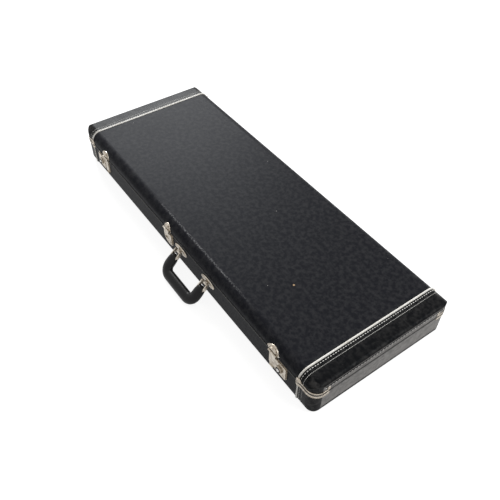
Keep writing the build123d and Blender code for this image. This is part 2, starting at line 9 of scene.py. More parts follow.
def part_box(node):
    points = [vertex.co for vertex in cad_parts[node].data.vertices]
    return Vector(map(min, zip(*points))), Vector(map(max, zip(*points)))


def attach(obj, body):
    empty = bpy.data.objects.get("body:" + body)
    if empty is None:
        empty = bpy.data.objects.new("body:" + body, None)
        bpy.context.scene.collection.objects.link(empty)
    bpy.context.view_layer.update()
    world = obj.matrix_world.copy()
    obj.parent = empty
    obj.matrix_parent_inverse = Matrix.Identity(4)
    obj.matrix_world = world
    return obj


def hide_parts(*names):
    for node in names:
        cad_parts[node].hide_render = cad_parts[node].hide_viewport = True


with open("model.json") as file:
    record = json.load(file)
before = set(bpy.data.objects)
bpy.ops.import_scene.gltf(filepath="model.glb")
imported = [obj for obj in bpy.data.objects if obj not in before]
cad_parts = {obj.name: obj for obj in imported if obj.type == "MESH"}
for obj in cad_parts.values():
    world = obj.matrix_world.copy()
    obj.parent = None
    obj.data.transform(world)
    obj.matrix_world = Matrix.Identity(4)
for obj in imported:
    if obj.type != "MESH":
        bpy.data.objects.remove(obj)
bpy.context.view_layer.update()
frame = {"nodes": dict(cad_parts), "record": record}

# A hard guitar case: vinyl covering, cream piping, nickel latches, plush inside. Metres throughout.
print("case: frame loaded")


# Small helpers

mergeWithin = 0.00001   # points nearer than this become one


def middleOf(nodeName):
    low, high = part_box(nodeName)
    return tuple((first + second) / 2 for first, second in zip(low, high))


def vertsOf(made):
    return [item for item in made if isinstance(item, bmesh.types.BMVert)]


def edgesOf(made):
    return [item for item in made if isinstance(item, bmesh.types.BMEdge)]


def ringPoint(centre, radius, angle):
    return Vector((centre[0] + radius * math.cos(angle), centre[1] + radius * math.sin(angle)))


def linkPiece(name, bm, finish):
    bmesh.ops.recalc_face_normals(bm, faces=bm.faces)
    mesh = bpy.data.meshes.new(name)
    bm.to_mesh(mesh)
    bm.free()
    mesh.shade_smooth()
    piece = bpy.data.objects.new(name, mesh)
    bpy.context.scene.collection.objects.link(piece)
    mesh.materials.append(finish)
    return piece


def settle(piece, body):
    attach(piece, body)


def addMesh(bm, mesh, place):
    # a copy of a small template, put in its place
    start = len(bm.verts)
    bm.from_mesh(mesh)
    bm.verts.ensure_lookup_table()
    bmesh.ops.transform(bm, matrix=place, verts=bm.verts[start:])


def applyModifiers(piece):
    graph = bpy.context.evaluated_depsgraph_get()
    mesh = bpy.data.meshes.new_from_object(piece.evaluated_get(graph))
    piece.modifiers.clear()
    piece.data = mesh


# Shader building

def newGroup(name, inputs, outputs):
    group = bpy.data.node_groups.new(name, "ShaderNodeTree")
    for label, kind, value in inputs:
        socket = group.interface.new_socket(label, in_out="INPUT", socket_type=kind)
        socket.default_value = value
    for label, kind in outputs:
        group.interface.new_socket(label, in_out="OUTPUT", socket_type=kind)
    return group


def join(tree, source, target):
    tree.links.new(source, target)


def mathNode(tree, operation, first, second=None, third=None):
    node = tree.nodes.new("ShaderNodeMath")
    node.operation = operation
    for index, value in enumerate((first, second, third)):
        if value is None:
            continue
        if isinstance(value, (int, float)):
            node.inputs[index].default_value = value
        else:
            tree.links.new(value, node.inputs[index])
    return node.outputs[0]


def ramp(tree, value, low, high, toLow=0.0, toHigh=1.0):
    node = tree.nodes.new("ShaderNodeMapRange")
    tree.links.new(value, node.inputs["Value"])
    node.inputs["From Min"].default_value = low
    node.inputs["From Max"].default_value = high
    node.inputs["To Min"].default_value = toLow
    node.inputs["To Max"].default_value = toHigh
    return node.outputs["Result"]


def noiseNode(tree, vector, scale, detail=3.0, roughness=0.5):
    node = tree.nodes.new("ShaderNodeTexNoise")
    tree.links.new(vector, node.inputs["Vector"])
    if isinstance(scale, (int, float)):
        node.inputs["Scale"].default_value = scale
    else:
        tree.links.new(scale, node.inputs["Scale"])
    node.inputs["Detail"].default_value = detail
    node.inputs["Roughness"].default_value = roughness
    return node.outputs["Fac"]


def blendColour(tree, mask, first, second):
    node = tree.nodes.new("ShaderNodeMix")
    node.data_type = "RGBA"
    tree.links.new(mask, node.inputs["Factor"])
    for socket, value in ((node.inputs[6], first), (node.inputs[7], second)):
        if isinstance(value, tuple):
            socket.default_value = (*value, 1.0)
        else:
            tree.links.new(value, socket)
    return node.outputs[2]


def objectPlace(tree):
    return tree.nodes.new("ShaderNodeTexCoord").outputs["Object"]


def noiseMask(tree, place, noise, span):
    return ramp(tree, noiseNode(tree, place, *noise), *span)


# In the settings of the finishes a noise is its scale, detail and roughness, a bump its strength and depth,
# and a shine its least and most roughness. Other pairs are where a mask starts and where it is full, and
# two numbers more are its values there.

pebbleSettings = {
    "warpNoise": (220.0, 2.0), "warpReach": 0.0012, "fineNoise": (1800.0, 2.0), "fineShare": 0.25,
    "hollows": (0.35, 0.75),
}


def buildPebbleGroup():
    # small raised pebbles, as embossed vinyl has
    group = newGroup(
        "pebbledVinyl",
        [("Scale", "NodeSocketFloat", 600.0), ("Softness", "NodeSocketFloat", 0.6)],
        [("Height", "NodeSocketFloat"), ("Hollows", "NodeSocketFloat")],
    )
    ins = group.nodes.new("NodeGroupInput")
    outs = group.nodes.new("NodeGroupOutput")
    place = objectPlace(group)
    warp = noiseNode(group, place, *pebbleSettings["warpNoise"])
    shifted = group.nodes.new("ShaderNodeVectorMath")
    shifted.operation = "MULTIPLY_ADD"
    join(group, warp, shifted.inputs[0])
    shifted.inputs[1].default_value = [pebbleSettings["warpReach"]] * 3
    join(group, place, shifted.inputs[2])
    cells = group.nodes.new("ShaderNodeTexVoronoi")
    cells.feature = "SMOOTH_F1"
    join(group, shifted.outputs[0], cells.inputs["Vector"])
    join(group, ins.outputs["Scale"], cells.inputs["Scale"])
    join(group, ins.outputs["Softness"], cells.inputs["Smoothness"])
    domes = mathNode(group, "SUBTRACT", 1.0, cells.outputs["Distance"])
    fine = noiseNode(group, place, *pebbleSettings["fineNoise"])
    height = mathNode(group, "MULTIPLY_ADD", fine, pebbleSettings["fineShare"], domes)
    join(group, height, outs.inputs["Height"])
    hollows = ramp(group, cells.outputs["Distance"], *pebbleSettings["hollows"])
    join(group, hollows, outs.inputs["Hollows"])
    return group


wearSettings = {
    "edges": (0.52, 0.62), "breakNoise": (90.0, 4.0, 0.65), "breaks": (0.42, 0.62),
    "lineTurn": 0.4, "lineStretch": (6.0, 420.0, 60.0), "lineNoise": (1.0, 2.0, 0.6),
    "lines": (0.66, 0.72), "whereNoise": (7.0, 2.0), "where": (0.52, 0.66),
    "patchNoise": (14.0, 5.0, 0.6), "patches": (0.35, 0.7),
}


def buildWearGroup():
    # rubbed corners, long scratches and dull patches
    group = newGroup(
        "rubbedWear",
        [("Edge", "NodeSocketFloat", 1.0), ("Scratches", "NodeSocketFloat", 1.0)],
        [("Edges", "NodeSocketFloat"), ("Lines", "NodeSocketFloat"), ("Patches", "NodeSocketFloat")],
    )
    ins = group.nodes.new("NodeGroupInput")
    outs = group.nodes.new("NodeGroupOutput")
    place = objectPlace(group)
    geometry = group.nodes.new("ShaderNodeNewGeometry")
    sharp = ramp(group, geometry.outputs["Pointiness"], *wearSettings["edges"])
    broken = noiseMask(group, place, wearSettings["breakNoise"], wearSettings["breaks"])
    edges = mathNode(group, "MULTIPLY", sharp, broken)
    join(group, mathNode(group, "MULTIPLY", edges, ins.outputs["Edge"]), outs.inputs["Edges"])
    stretch = group.nodes.new("ShaderNodeMapping")
    stretch.inputs["Rotation"].default_value = (0.0, 0.0, wearSettings["lineTurn"])
    stretch.inputs["Scale"].default_value = wearSettings["lineStretch"]
    join(group, place, stretch.inputs["Vector"])
    streaks = noiseMask(group, stretch.outputs[0], wearSettings["lineNoise"], wearSettings["lines"])
    where = noiseMask(group, place, wearSettings["whereNoise"], wearSettings["where"])
    lines = mathNode(group, "MULTIPLY", streaks, where)
    join(group, mathNode(group, "MULTIPLY", lines, ins.outputs["Scratches"]), outs.inputs["Lines"])
    patches = noiseMask(group, place, wearSettings["patchNoise"], wearSettings["patches"])
    join(group, patches, outs.inputs["Patches"])
    return group


dustSettings = {"keptAbove": 0.8}


def buildDustGroup():
    # a mask of scattered specks, at one cell in five
    group = newGroup(
        "dustSpecks",
        [("Scale", "NodeSocketFloat", 70.0), ("Size", "NodeSocketFloat", 0.06)],
        [("Mask", "NodeSocketFloat")],
    )
    ins = group.nodes.new("NodeGroupInput")
    outs = group.nodes.new("NodeGroupOutput")
    place = objectPlace(group)
    cells = group.nodes.new("ShaderNodeTexVoronoi")
    join(group, place, cells.inputs["Vector"])
    join(group, ins.outputs["Scale"], cells.inputs["Scale"])
    near = mathNode(group, "LESS_THAN", cells.outputs["Distance"], ins.outputs["Size"])
    rare = group.nodes.new("ShaderNodeSeparateColor")
    join(group, cells.outputs["Color"], rare.inputs[0])
    few = mathNode(group, "GREATER_THAN", rare.outputs[0], dustSettings["keptAbove"])
    join(group, mathNode(group, "MULTIPLY", near, few), outs.inputs["Mask"])
    return group


pebbleGroup = buildPebbleGroup()
wearGroup = buildWearGroup()
dustGroup = buildDustGroup()


def useGroup(tree, group, **values):
    node = tree.nodes.new("ShaderNodeGroup")
    node.node_tree = group
    for label, value in values.items():
        node.inputs[label].default_value = value
    return node


def newFinish(name, roughness=0.5, metallic=0.0, **fixed):
    material = bpy.data.materials.new(name)
    material.use_nodes = True
    tree = material.node_tree
    shader = tree.nodes["Principled BSDF"]
    shader.inputs["Roughness"].default_value = roughness
    shader.inputs["Metallic"].default_value = metallic
    for label, value in fixed.items():
        shader.inputs[label.replace("_", " ")].default_value = value
    return material, tree, shader


def addBump(tree, shader, height, strength, distance):
    bump = tree.nodes.new("ShaderNodeBump")
    bump.inputs["Strength"].default_value = strength
    bump.inputs["Distance"].default_value = distance
    join(tree, height, bump.inputs["Height"])
    join(tree, bump.outputs["Normal"], shader.inputs["Normal"])


def splitPlace(tree, place):
    split = tree.nodes.new("ShaderNodeSeparateXYZ")
    join(tree, place, split.inputs[0])
    return split


def wornMask(tree, wear, share):
    rubbed = mathNode(tree, "MAXIMUM", wear.outputs["Edges"], wear.outputs["Lines"])
    return mathNode(tree, "MULTIPLY", rubbed, share)


vinylSettings = {
    "specular": 0.03, "tint": (0.80, 0.90, 1.0, 1.0), "dust": (0.35, 0.34, 0.32),
    "colour": (0.0118, 0.0121, 0.0150), "hollowShade": (0.0102, 0.0105, 0.0130),
    "worn": (0.04, 0.04, 0.042), "wornShare": 0.6,
    "pebbles": {"Scale": 560.0, "Softness": 0.55}, "wear": {"Edge": 0.8, "Scratches": 0.5},
    "specks": {"Scale": 22.0, "Size": 0.022}, "shine": (0.425, 0.44), "bump": (0.22, 0.0002),
}
# the pale shoulder line: partly rubbed wear, partly a painted highlight
rubAndHighlightSettings = {
    "colour": (0.20, 0.20, 0.205), "across": 0.0195, "half": 0.0040, "depth": 0.02,
    "start": -0.14, "startFade": 0.08, "stop": 0.30, "stopFade": 0.12,
    "noise": (300.0, 3.0, 0.6), "breaks": (0.46, 0.60),
}
chipSettings = {
    "place": (0.2967, -0.0368, 0.1104), "size": 0.0052, "colour": (0.42, 0.29, 0.17),
    "noise": (420.0, 3.0), "ragged": 0.004, "edge": (0.0012, 0.0006),
}


def shoulderRubAndHighlight(tree, place, split):
    # the vinyl is pale along the front shoulder, near its middle: rubbed wear, with a painted highlight along
    # the same line
    low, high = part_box("lid_cover")
    line = low.y + rubAndHighlightSettings["across"]
    off = mathNode(tree, "ABSOLUTE", mathNode(tree, "SUBTRACT", split.outputs["Y"], line))
    across = ramp(tree, off, 0.0, rubAndHighlightSettings["half"], 1.0, 0.0)
    start = rubAndHighlightSettings["start"]
    stop = rubAndHighlightSettings["stop"]
    begins = ramp(tree, split.outputs["X"], start, start + rubAndHighlightSettings["startFade"])
    ends = ramp(tree, split.outputs["X"], stop - rubAndHighlightSettings["stopFade"], stop, 1.0, 0.0)
    upper = mathNode(tree, "GREATER_THAN", split.outputs["Z"], high.z - rubAndHighlightSettings["depth"])
    along = mathNode(tree, "MULTIPLY", mathNode(tree, "MULTIPLY", begins, ends), upper)
    broken = noiseMask(tree, place, rubAndHighlightSettings["noise"], rubAndHighlightSettings["breaks"])
    return mathNode(tree, "MULTIPLY", mathNode(tree, "MULTIPLY", across, along), broken)


def chipMask(tree, place):
    # one ragged chip in the lid's vinyl
    away = tree.nodes.new("ShaderNodeVectorMath")
    away.operation = "DISTANCE"
    join(tree, place, away.inputs[0])
    away.inputs[1].default_value = chipSettings["place"]
    wobble = noiseNode(tree, place, *chipSettings["noise"])
    ragged = mathNode(tree, "MULTIPLY_ADD", wobble, chipSettings["ragged"], away.outputs["Value"])
    inner, outer = chipSettings["edge"]
    return ramp(tree, ragged, chipSettings["size"] - inner, chipSettings["size"] - outer, 1.0, 0.0)


def grainedVinyl():
    # the long middle: pebbled, with the shoulder's rub and painted highlight, and the chip
    material, tree, shader = newFinish(
        "grainedVinyl", 0.4, 0.0, Specular_IOR_Level=vinylSettings["specular"]
    )
    shader.inputs["Specular Tint"].default_value = vinylSettings["tint"]
    pebbles = useGroup(tree, pebbleGroup, **vinylSettings["pebbles"])
    wear = useGroup(tree, wearGroup, **vinylSettings["wear"])
    dust = useGroup(tree, dustGroup, **vinylSettings["specks"])
    place = objectPlace(tree)
    split = splitPlace(tree, place)
    # the low ground round the pebbles is painted darker: painted shade
    colour = blendColour(
        tree, pebbles.outputs["Hollows"], vinylSettings["colour"], vinylSettings["hollowShade"]
    )
    worn = wornMask(tree, wear, vinylSettings["wornShare"])
    colour = blendColour(tree, worn, colour, vinylSettings["worn"])
    colour = blendColour(tree, dust.outputs["Mask"], colour, vinylSettings["dust"])
    # pale line on the front shoulder: partly wear, partly a painted highlight
    colour = blendColour(tree, shoulderRubAndHighlight(tree, place, split), colour, rubAndHighlightSettings["colour"])
    colour = blendColour(tree, chipMask(tree, place), colour, chipSettings["colour"])
    join(tree, colour, shader.inputs["Base Color"])
    shine = ramp(tree, wear.outputs["Patches"], 0.0, 1.0, *vinylSettings["shine"])
    join(tree, shine, shader.inputs["Roughness"])
    addBump(tree, shader, pebbles.outputs["Height"], *vinylSettings["bump"])
    return material


# the grey for the end faces below is a painted sheen, for the bright floor they reflect, not a colour of the
# vinyl
capSettings = {
    "colour": (0.0058, 0.006, 0.0068), "worn": (0.06, 0.058, 0.056), "wornShare": 0.7,
    "wear": {"Edge": 1.0, "Scratches": 1.0}, "specks": {"Scale": 60.0, "Size": 0.05},
    "paintedSheen": (0.30, 0.288, 0.276), "sheenFrom": 0.0030, "sheenTo": 0.0004,
    "mottleNoise": (55.0, 5.0, 0.6), "mottle": (0.3, 0.7, 0.72, 1.0),
    "inset": 0.0235, "drop": 0.0088, "rise": 0.0125, "edge": 0.001, "sideEdge": 0.0015,
    "shine": (0.27, 0.35), "creaseNoise": (260.0, 4.0, 0.6), "bump": (0.35, 0.0004),
}


def paintedEndSheen(tree, place, split):
    # a grey painted on the flat end faces: a painted sheen, standing for their reflection of the bright
    # floor. It stops short of the rolled top edge, the bottom and the rounded corners
    low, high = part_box("lid_end_cap_right")
    outward = mathNode(tree, "ABSOLUTE", split.outputs["X"])
    face = ramp(tree, outward, high.x - capSettings["sheenFrom"], high.x - capSettings["sheenTo"])
    mottle = noiseMask(tree, place, capSettings["mottleNoise"], capSettings["mottle"])
    top = high.z - capSettings["drop"]
    under = ramp(tree, split.outputs["Z"], top - capSettings["edge"], top, 1.0, 0.0)
    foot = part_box("base_end_cap_right")[0].z + capSettings["rise"]
    above = ramp(tree, split.outputs["Z"], foot - capSettings["edge"], foot)
    middleY = (low.y + high.y) / 2
    sideways = mathNode(tree, "ABSOLUTE", mathNode(tree, "SUBTRACT", split.outputs["Y"], middleY))
    reach = (high.y - low.y) / 2 - capSettings["inset"]
    within = ramp(tree, sideways, reach, reach + capSettings["sideEdge"], 1.0, 0.0)
    face = mathNode(tree, "MULTIPLY", mathNode(tree, "MULTIPLY", face, within),
                    mathNode(tree, "MULTIPLY", under, above))
    return mathNode(tree, "MULTIPLY", face, mottle)


def smoothVinyl():
    # the caps: smoother and glossier, with a painted grey sheen on the flat end faces
    material, tree, shader = newFinish(
        "smoothVinyl", 0.3, 0.0, Specular_IOR_Level=vinylSettings["specular"]
    )
    shader.inputs["Specular Tint"].default_value = vinylSettings["tint"]
    wear = useGroup(tree, wearGroup, **capSettings["wear"])
    dust = useGroup(tree, dustGroup, **capSettings["specks"])
    place = objectPlace(tree)
    split = splitPlace(tree, place)
    paintedSheen = paintedEndSheen(tree, place, split)
    # painted sheen: the flat end faces painted grey, as if they reflected the floor
    colour = blendColour(tree, paintedSheen, capSettings["colour"], capSettings["paintedSheen"])
    worn = wornMask(tree, wear, capSettings["wornShare"])
    colour = blendColour(tree, worn, colour, capSettings["worn"])
    colour = blendColour(tree, dust.outputs["Mask"], colour, vinylSettings["dust"])
    join(tree, colour, shader.inputs["Base Color"])
    shine = ramp(tree, wear.outputs["Patches"], 0.0, 1.0, *capSettings["shine"])
    join(tree, shine, shader.inputs["Roughness"])
    creases = noiseNode(tree, place, *capSettings["creaseNoise"])
    addBump(tree, shader, creases, *capSettings["bump"])
    return material


pipingSettings = {
    "clean": (0.80, 0.785, 0.74), "grimy": (0.62, 0.58, 0.50),
    "grimeNoise": (40.0, 5.0, 0.6), "grime": (0.45, 0.75), "fineNoise": (900.0, 2.0), "bump": (0.15, 0.0002),
}


def creamPiping():
    material, tree, shader = newFinish("creamPiping", 0.35)
    place = objectPlace(tree)
    grime = noiseMask(tree, place, pipingSettings["grimeNoise"], pipingSettings["grime"])
    colour = blendColour(tree, grime, pipingSettings["clean"], pipingSettings["grimy"])
    join(tree, colour, shader.inputs["Base Color"])
    fine = noiseNode(tree, place, *pipingSettings["fineNoise"])
    addBump(tree, shader, fine, *pipingSettings["bump"])
    return material


nickelSettings = {
    "bright": (0.47, 0.42, 0.35), "tarnished": (0.21, 0.165, 0.12), "edge": (0.66, 0.62, 0.55),
    "wear": {"Edge": 1.0, "Scratches": 1.0}, "tarnishNoise": (230.0, 5.0, 0.65), "tarnish": (0.44, 0.66),
    "shine": (0.24, 0.48), "fineNoise": (700.0, 3.0), "bump": (0.12, 0.0002),
}


def wornNickel():
    material, tree, shader = newFinish("wornNickel", 0.3, 1.0)
    place = objectPlace(tree)
    wear = useGroup(tree, wearGroup, **nickelSettings["wear"])
    tarnish = noiseMask(tree, place, nickelSettings["tarnishNoise"], nickelSettings["tarnish"])
    colour = blendColour(tree, tarnish, nickelSettings["bright"], nickelSettings["tarnished"])
    colour = blendColour(tree, wear.outputs["Edges"], colour, nickelSettings["edge"])
    join(tree, colour, shader.inputs["Base Color"])
    join(tree, ramp(tree, tarnish, 0.0, 1.0, *nickelSettings["shine"]), shader.inputs["Roughness"])
    fine = noiseNode(tree, place, *nickelSettings["fineNoise"])
    addBump(tree, shader, fine, *nickelSettings["bump"])
    return material


steelSettings = {
    "clean": (0.6, 0.59, 0.57), "spotted": (0.3, 0.26, 0.22), "noise": (300.0, 4.0), "spots": (0.5, 0.75),
    "shine": (0.28, 0.55),
}


def pinSteel():
    material, tree, shader = newFinish("pinSteel", 0.34, 1.0)
    place = objectPlace(tree)
    spots = noiseMask(tree, place, steelSettings["noise"], steelSettings["spots"])
    colour = blendColour(tree, spots, steelSettings["clean"], steelSettings["spotted"])
    join(tree, colour, shader.inputs["Base Color"])
    join(tree, ramp(tree, spots, 0.0, 1.0, *steelSettings["shine"]), shader.inputs["Roughness"])
    return material


leatherSettings = {
    "specular": 0.2, "dark": (0.005, 0.005, 0.006), "light": (0.013, 0.013, 0.013), "lightShare": 0.6,
    "wear": {"Edge": 0.6, "Scratches": 0.6}, "shine": (0.32, 0.38),
    "creaseNoise": (420.0, 4.0, 0.6), "bump": (0.25, 0.0004),
}


def gripLeather():
    material, tree, shader = newFinish(
        "gripLeather", 0.34, 0.0, Specular_IOR_Level=leatherSettings["specular"]
    )
    place = objectPlace(tree)
    wear = useGroup(tree, wearGroup, **leatherSettings["wear"])
    light = mathNode(tree, "MULTIPLY", wear.outputs["Patches"], leatherSettings["lightShare"])
    colour = blendColour(tree, light, leatherSettings["dark"], leatherSettings["light"])
    join(tree, colour, shader.inputs["Base Color"])
    shine = ramp(tree, wear.outputs["Patches"], 0.0, 1.0, *leatherSettings["shine"])
    join(tree, shine, shader.inputs["Roughness"])
    creases = noiseNode(tree, place, *leatherSettings["creaseNoise"])
    addBump(tree, shader, creases, *leatherSettings["bump"])
    return material


rubberSettings = {
    "colour": (0.018, 0.018, 0.018), "scuffed": (0.07, 0.067, 0.062),
    "scuffNoise": (160.0, 4.0), "scuff": (0.45, 0.7), "fineNoise": (1200.0, 2.0), "bump": (0.3, 0.0002),
}


def footRubber():
    material, tree, shader = newFinish("footRubber", 0.7)
    place = objectPlace(tree)
    scuff = noiseMask(tree, place, rubberSettings["scuffNoise"], rubberSettings["scuff"])
    colour = blendColour(tree, scuff, rubberSettings["colour"], rubberSettings["scuffed"])
    join(tree, colour, shader.inputs["Base Color"])
    fine = noiseNode(tree, place, *rubberSettings["fineNoise"])
    addBump(tree, shader, fine, *rubberSettings["bump"])
    return material


plySettings = {
    "pale": (0.52, 0.37, 0.22), "dark": (0.36, 0.24, 0.13), "grain": (0.62, 0.47, 0.30), "grainShare": 0.5,
    "layers": 210.0, "waver": 0.4, "stretch": (12.0, 220.0, 220.0),
    "noise": (1.0, 5.0, 0.6), "lines": (0.35, 0.7), "bump": (0.2, 0.0003),
}


def birchPly():
    # thin light and dark plies along Z, with long grain along X
    material, tree, shader = newFinish("birchPly", 0.6)
    place = objectPlace(tree)
    layers = tree.nodes.new("ShaderNodeTexWave")
    layers.bands_direction = "Z"
    layers.inputs["Scale"].default_value = plySettings["layers"]
    layers.inputs["Distortion"].default_value = plySettings["waver"]
    join(tree, place, layers.inputs["Vector"])
    long = tree.nodes.new("ShaderNodeMapping")
    long.inputs["Scale"].default_value = plySettings["stretch"]
    join(tree, place, long.inputs["Vector"])
    grain = noiseMask(tree, long.outputs[0], plySettings["noise"], plySettings["lines"])
    colour = blendColour(tree, layers.outputs["Fac"], plySettings["pale"], plySettings["dark"])
    grained = mathNode(tree, "MULTIPLY", grain, plySettings["grainShare"])
    colour = blendColour(tree, grained, colour, plySettings["grain"])
    join(tree, colour, shader.inputs["Base Color"])
    addBump(tree, shader, grain, *plySettings["bump"])
    return material


plushSettings = {
    "specular": 0.2, "sheen": 0.6, "sheenRoughness": 0.45, "sheenTint": (0.9, 0.55, 0.55, 1.0),
    "down": (0.10, 0.022, 0.03), "up": (0.20, 0.05, 0.06), "between": (0.06, 0.012, 0.018),
    "leanNoise": (16.0, 4.0, 0.6), "lean": (0.35, 0.65),
    "tuftNoise": (900.0, 3.0, 0.6), "gaps": (0.3, 0.7, 0.0, 0.5), "bump": (0.7, 0.0012),
}


def plushPile():
    material, tree, shader = newFinish(
        "plushPile", 0.95, 0.0, Sheen_Weight=plushSettings["sheen"],
        Sheen_Roughness=plushSettings["sheenRoughness"], Specular_IOR_Level=plushSettings["specular"]
    )
    shader.inputs["Sheen Tint"].default_value = plushSettings["sheenTint"]
    place = objectPlace(tree)
    lean = noiseMask(tree, place, plushSettings["leanNoise"], plushSettings["lean"])
    tufts = noiseNode(tree, place, *plushSettings["tuftNoise"])
    colour = blendColour(tree, lean, plushSettings["down"], plushSettings["up"])
    # the tufts' gaps are painted darker: painted shade
    gaps = ramp(tree, tufts, *plushSettings["gaps"])
    colour = blendColour(tree, gaps, colour, plushSettings["between"])
    join(tree, colour, shader.inputs["Base Color"])
    addBump(tree, shader, tufts, *plushSettings["bump"])
    return material


threadSettings = {
    "clean": (0.8, 0.79, 0.75), "soiled": (0.5, 0.49, 0.46), "strands": 900.0,
    "soilNoise": (60.0, 3.0), "soil": (0.4, 0.7), "bump": (0.4, 0.0002),
}


def waxedThread():
    material, tree, shader = newFinish("waxedThread", 0.6)
    place = objectPlace(tree)
    strands = tree.nodes.new("ShaderNodeTexWave")
    strands.bands_direction = "DIAGONAL"
    strands.inputs["Scale"].default_value = threadSettings["strands"]
    join(tree, place, strands.inputs["Vector"])
    soil = noiseMask(tree, place, threadSettings["soilNoise"], threadSettings["soil"])
    colour = blendColour(tree, soil, threadSettings["clean"], threadSettings["soiled"])
    join(tree, colour, shader.inputs["Base Color"])
    addBump(tree, shader, strands.outputs["Fac"], *threadSettings["bump"])
    return material


finishes = {
    "tolex": grainedVinyl(),
    "smooth": smoothVinyl(),
    "piping": creamPiping(),
    "plywood": birchPly(),
    "nickel": wornNickel(),
    "steel_pin": pinSteel(),
    "grip": gripLeather(),
    "rubber": footRubber(),
    "plush": plushPile(),
}
threadFinish = waxedThread()

slotOfNode = {part["node"]: part["material_slot"] for part in frame["record"]["subparts"]}
for nodeName, cadPiece in frame["nodes"].items():
    cadPiece.data.materials.clear()
    cadPiece.data.materials.append(finishes[slotOfNode[nodeName]])
print("case: finishes on", len(frame["nodes"]), "nodes")


# The section of the case, for everything that runs round it

lidLow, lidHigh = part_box("lid_cover")
baseLow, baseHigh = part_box("base_cover")
sectionSettings = {"shoulder": 0.024, "bottom": 0.006, "start": 0.003}


def sectionStations(upper, pitch):
    # places along the outside of the section: y, z and the turn about X of the surface
    radius = sectionSettings["shoulder"] if upper else sectionSettings["bottom"]
    level = lidLow.z if upper else baseHigh.z
    far = lidHigh.z if upper else baseLow.z
    sign = 1 if upper else -1
    wallRun = abs(far - level) - radius - sectionSettings["start"]
    arc = radius * math.pi / 2
    flat = lidHigh.y - lidLow.y - 2 * radius
    total = 2 * wallRun + 2 * arc + flat
    stations = []
    for index in range(int(total / pitch)):
        s = (index + 0.5) * pitch
        if s < wallRun:
            y = lidLow.y
            z = level + sign * (sectionSettings["start"] + s)
            turn = math.pi / 2
        elif s < wallRun + arc:
            angle = (s - wallRun) / radius
            y = lidLow.y + radius - radius * math.cos(angle)
            z = far - sign * (radius - radius * math.sin(angle))
            turn = math.pi / 2 - angle
        elif s < wallRun + arc + flat:
            y = lidLow.y + radius + s - wallRun - arc
            z = far
            turn = 0.0
        elif s < wallRun + 2 * arc + flat:
            angle = (s - wallRun - arc - flat) / radius
            y = lidHigh.y - radius + radius * math.sin(angle)
            z = far - sign * (radius - radius * math.cos(angle))
            turn = -angle
        else:
            y = lidHigh.y
            z = far - sign * (radius + s - wallRun - 2 * arc - flat)
            turn = -math.pi / 2
        stations.append((y, z, sign * turn))
    return stations


# each row: how far from the piping, its pitch, and the length and half width of a stitch
stitchSettings = {
    "rows": ((0.0062, 0.0068, 0.0045, 0.0010), (0.0145, 0.0040, 0.0034, 0.00055)),
    "thick": 0.0009, "sides": (6, 5),
}


def stitchTemplate(length, halfWidth):
    # one stitch: a short soft bar that dips into the vinyl at both ends
    around, rings = stitchSettings["sides"]
    bm = bmesh.new()
    bmesh.ops.create_uvsphere(bm, u_segments=around, v_segments=rings, radius=1.0)
    bmesh.ops.rotate(bm, verts=bm.verts, matrix=Matrix.Rotation(math.pi / 2, 3, "X"))
    bmesh.ops.scale(bm, verts=bm.verts, vec=(halfWidth, length / 2, stitchSettings["thick"] / 2))
    mesh = bpy.data.meshes.new("stitch")
    bm.to_mesh(mesh)
    bm.free()
    return mesh


def stitchRows(name, body, upper, side):
    pipingX = middleOf(f"lid_piping_{'right' if side > 0 else 'left'}")[0]
    bm = bmesh.new()
    for offset, pitch, length, halfWidth in stitchSettings["rows"]:
        template = stitchTemplate(length, halfWidth)
        for y, z, turn in sectionStations(upper, pitch):
            place = Matrix.Translation((pipingX + side * offset, y, z)) @ Matrix.Rotation(turn, 4, "X")
            addMesh(bm, template, place)
    settle(linkPiece(name, bm, threadFinish), body)


for side, hand in ((-1, "left"), (1, "right")):
    stitchRows(f"lid_stitches_{hand}", "lid", True, side)
    stitchRows(f"base_stitches_{hand}", "base", False, side)
print("case: stitched rows beside the piping")


# End faces: a stitched welt below the lid's edge and a bead low on the base

endSettings = {
    "weltDrop": 0.0138, "weltRadius": 0.0024, "weltPitch": 0.0085, "stitch": 0.0040, "stitchHalf": 0.0016,
    "inset": 0.027, "beadRise": 0.0105, "beadRadius": 0.0013, "sunk": 0.4, "sides": 12,
}


def endStitches(side, hand):
    low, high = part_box(f"lid_end_cap_{hand}")
    faceX = high.x if side > 0 else low.x
    template = stitchTemplate(endSettings["stitch"], endSettings["stitchHalf"])
    bm = bmesh.new()
    run = high.y - low.y - 2 * endSettings["inset"]
    count = int(run / endSettings["weltPitch"])
    for index in range(count + 1):
        y = low.y + endSettings["inset"] + index * run / count
        crest = faceX + side * endSettings["weltRadius"] * (1 - endSettings["sunk"])
        place = Matrix.Translation((crest, y, high.z - endSettings["weltDrop"]))
        addMesh(bm, template, place @ Matrix.Rotation(math.pi / 2, 4, "Y"))
    settle(linkPiece(f"lid_end_stitches_{hand}", bm, threadFinish), "lid")


def endBead(name, body, side, hand, level, radius):
    # a thin rolled welt along the end face
    low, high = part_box(f"{body}_end_cap_{hand}")
    faceX = high.x if side > 0 else low.x
    bm = bmesh.new()
    run = high.y - low.y - 2 * endSettings["inset"]
    ring = bmesh.ops.create_circle(bm, segments=endSettings["sides"], radius=radius, cap_ends=True)
    bmesh.ops.rotate(bm, verts=ring["verts"], matrix=Matrix.Rotation(math.pi / 2, 3, "X"))
    sunkX = faceX - side * radius * endSettings["sunk"]
    start = Vector((sunkX, low.y + endSettings["inset"], level))
    bmesh.ops.translate(bm, verts=ring["verts"], vec=start)
    pushed = bmesh.ops.extrude_face_region(bm, geom=bm.faces[:])
    bmesh.ops.translate(bm, verts=vertsOf(pushed["geom"]), vec=(0, run, 0))
    settle(linkPiece(f"{name}_{hand}", bm, finishes["grip"]), body)


